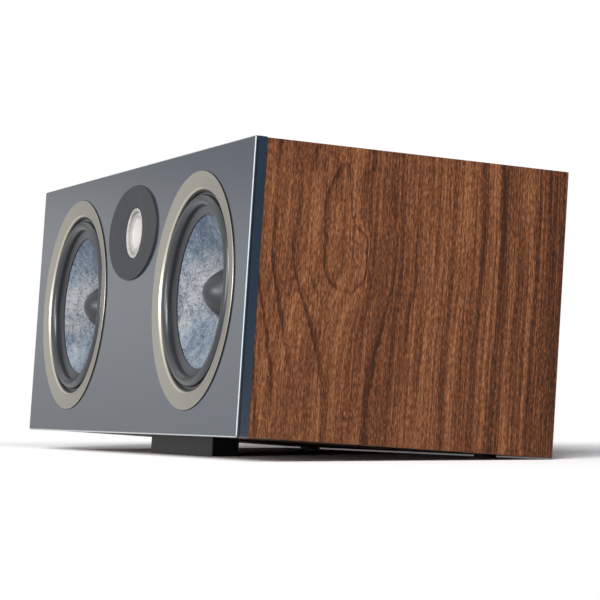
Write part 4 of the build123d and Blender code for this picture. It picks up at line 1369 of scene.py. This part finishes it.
class SPEAKER_OT_stage(SpeakerOperator):
    """Sets the floor, the white room, the lamps and the camera"""

    bl_idname = "speaker.stage"
    bl_label = "Stage"

    def execute(self, context):
        stage = context.scene.speaker_stage
        self.make_floor(stage)
        self.make_room(context, stage)
        self.make_lamp("high_lamp", stage.high_place, stage.high_size, stage.high_power, stage.lamp_target)
        self.make_lamp("low_lamp", stage.low_place, stage.low_size, stage.low_power, stage.lamp_target)
        camera = bpy.data.cameras.new("camera")
        camera.lens = stage.camera_lens
        camera.sensor_width = 36.0
        context.scene.camera = self.hang(camera, stage.camera_place, stage.camera_aim)
        context.scene.view_settings.view_transform = "Standard"
        return {"FINISHED"}

    def hang(self, thing, place, direction):
        """Puts a lamp or a camera at a place, looking in a direction."""
        holder = bpy.data.objects.new(thing.name, thing)
        holder.location = place
        holder.rotation_mode = "QUATERNION"
        holder.rotation_quaternion = Vector(direction).to_track_quat("-Z", "Y")
        bpy.context.scene.collection.objects.link(holder)
        return holder

    def make_lamp(self, name, place, size, power, target):
        """A square soft lamp that faces a point."""
        lamp = bpy.data.lights.new(name, "AREA")
        lamp.shape = "SQUARE"
        lamp.size = size
        lamp.energy = power
        self.hang(lamp, place, Vector(target) - Vector(place))

    def seen(self, bench):
        """1 for rays that show the background, in the camera or in a reflection."""
        shown = bench.add("ShaderNodeLightPath", output="Is Camera Ray")
        outputs = shown.socket.node.outputs
        for name in ("Is Glossy Ray", "Is Transmission Ray"):
            shown = bench.math("MAXIMUM", shown, Signal(bench, outputs[name]))
        return shown

    def make_floor(self, stage):
        """Pale floor that keeps the shadow near the speaker and runs out to white; in front, and a little
        under the baffle's front edge, white is painted over the shadow.
        """
        shadow_ends = (0.42, 0.80)
        front_opens = (0.085, 0.14)
        mesh_work = bmesh.new()
        bmesh.ops.create_grid(mesh_work, x_segments=8, y_segments=8, size=stage.floor_size / 2)
        material = bpy.data.materials.new("pale_floor")
        material.use_nodes = True
        bench = Bench(material.node_tree)
        seen = self.seen(bench)
        x, y, _ = bench.split(bench.own())
        away = bench.smooth(bench.math("SQRT", x * x + y * y), *shadow_ends)
        # Painted light: the floor from just under the baffle's front edge forward is turned white to the
        # eye, over the shadow.
        painted_light_in_front = bench.smooth(-1.0 * y, *front_opens)
        far = bench.math("MAXIMUM", away, painted_light_in_front) * seen
        lifted = [part * stage.floor_lift for part in stage.floor_white]
        pale = bench.mix(seen, stage.floor_white, lifted)
        matt = bench.add("ShaderNodeBsdfDiffuse", values={"Color": pale})
        white = bench.add("ShaderNodeEmission", values={"Color": (1.0, 1.0, 1.0), "Strength": 1.0})
        mixed = bench.add("ShaderNodeMixShader", values={0: far, 1: matt, 2: white})
        bench.add("ShaderNodeOutputMaterial", values={"Surface": mixed})
        place_mesh("floor", mesh_work, material, 30.0)

    def make_room(self, context, stage):
        """Even light from all round, white to the eye.

        In reflections it is dim at the right and behind, and far at the left it fades upward, downward
        and towards the back.
        """
        world = bpy.data.worlds.new("white_room")
        world.use_nodes = True
        bench = Bench(world.node_tree)
        seen = self.seen(bench)
        eye = bench.add("ShaderNodeLightPath", output="Is Camera Ray")
        x, y, height = bench.split(bench.add("ShaderNodeTexCoord", output="Generated"))
        light_side = bench.smooth(-0.72 * x - 0.69 * y, -0.55, 0.45)
        far_left = bench.smooth(-1.0 * x, 0.87, 0.93)
        low_fade = 0.35 + 0.65 * bench.smooth(height, -0.03, 0.10)
        high_fade = 1.0 - 0.62 * bench.smooth(height, 0.10, 0.15)
        side_fade = 0.76 + 0.24 * bench.smooth(-1.0 * y, 0.24, 0.36)
        back_fade = 0.30 + 0.70 * bench.smooth(-1.0 * y, 0.02, 0.24)
        faded = low_fade * high_fade * side_fade * back_fade
        mirrored = (0.04 + 0.96 * light_side) * (1.0 - far_left * (1.0 - faded))
        white = bench.math("MINIMUM", bench.math("MAXIMUM", mirrored, eye), 1.0)
        strength = seen * white + (1.0 - seen) * stage.room_light
        room = bench.add("ShaderNodeBackground", values={"Color": (1.0, 1.0, 1.0), "Strength": strength})
        bench.add("ShaderNodeOutputWorld", values={"Surface": room})
        context.scene.world = world


class SPEAKER_PT_steps(bpy.types.Panel):
    """Lists the steps in the sidebar"""

    bl_idname = "SPEAKER_PT_steps"
    bl_label = "Center channel speaker"
    bl_space_type = "VIEW_3D"
    bl_region_type = "UI"
    bl_category = "Speaker"

    def draw(self, context):
        for step in steps:
            self.layout.operator(step.bl_idname)
        scene = context.scene
        for group in (scene.speaker_sizes, scene.speaker_colours, scene.speaker_stage):
            box = self.layout.box()
            for name in group.__annotations__:
                box.prop(group, name)


steps = (
    SPEAKER_OT_cabinet,
    SPEAKER_OT_feet,
    SPEAKER_OT_woofers,
    SPEAKER_OT_surrounds,
    SPEAKER_OT_spiders,
    SPEAKER_OT_tweeter,
    SPEAKER_OT_terminals,
    SPEAKER_OT_screws,
    SPEAKER_OT_crossover,
    SPEAKER_OT_wadding,
    SPEAKER_OT_stage,
)
groups = (SpeakerSizes, SpeakerColours, SpeakerStage)


def register():
    for item in (*groups, *steps, SPEAKER_PT_steps):
        bpy.utils.register_class(item)
    bpy.types.Scene.speaker_sizes = bpy.props.PointerProperty(type=SpeakerSizes)
    bpy.types.Scene.speaker_colours = bpy.props.PointerProperty(type=SpeakerColours)
    bpy.types.Scene.speaker_stage = bpy.props.PointerProperty(type=SpeakerStage)


def unregister():
    del bpy.types.Scene.speaker_stage
    del bpy.types.Scene.speaker_colours
    del bpy.types.Scene.speaker_sizes
    for item in reversed((*groups, *steps, SPEAKER_PT_steps)):
        bpy.utils.unregister_class(item)


def main():
    """Dresses the speaker step by step."""
    register()
    bpy.ops.speaker.cabinet()
    bpy.ops.speaker.feet()
    bpy.ops.speaker.woofers()
    bpy.ops.speaker.surrounds()
    bpy.ops.speaker.spiders()
    bpy.ops.speaker.tweeter()
    bpy.ops.speaker.terminals()
    bpy.ops.speaker.screws()
    bpy.ops.speaker.crossover()
    bpy.ops.speaker.wadding()
    bpy.ops.speaker.stage()


if __name__ == "__main__":
    main()
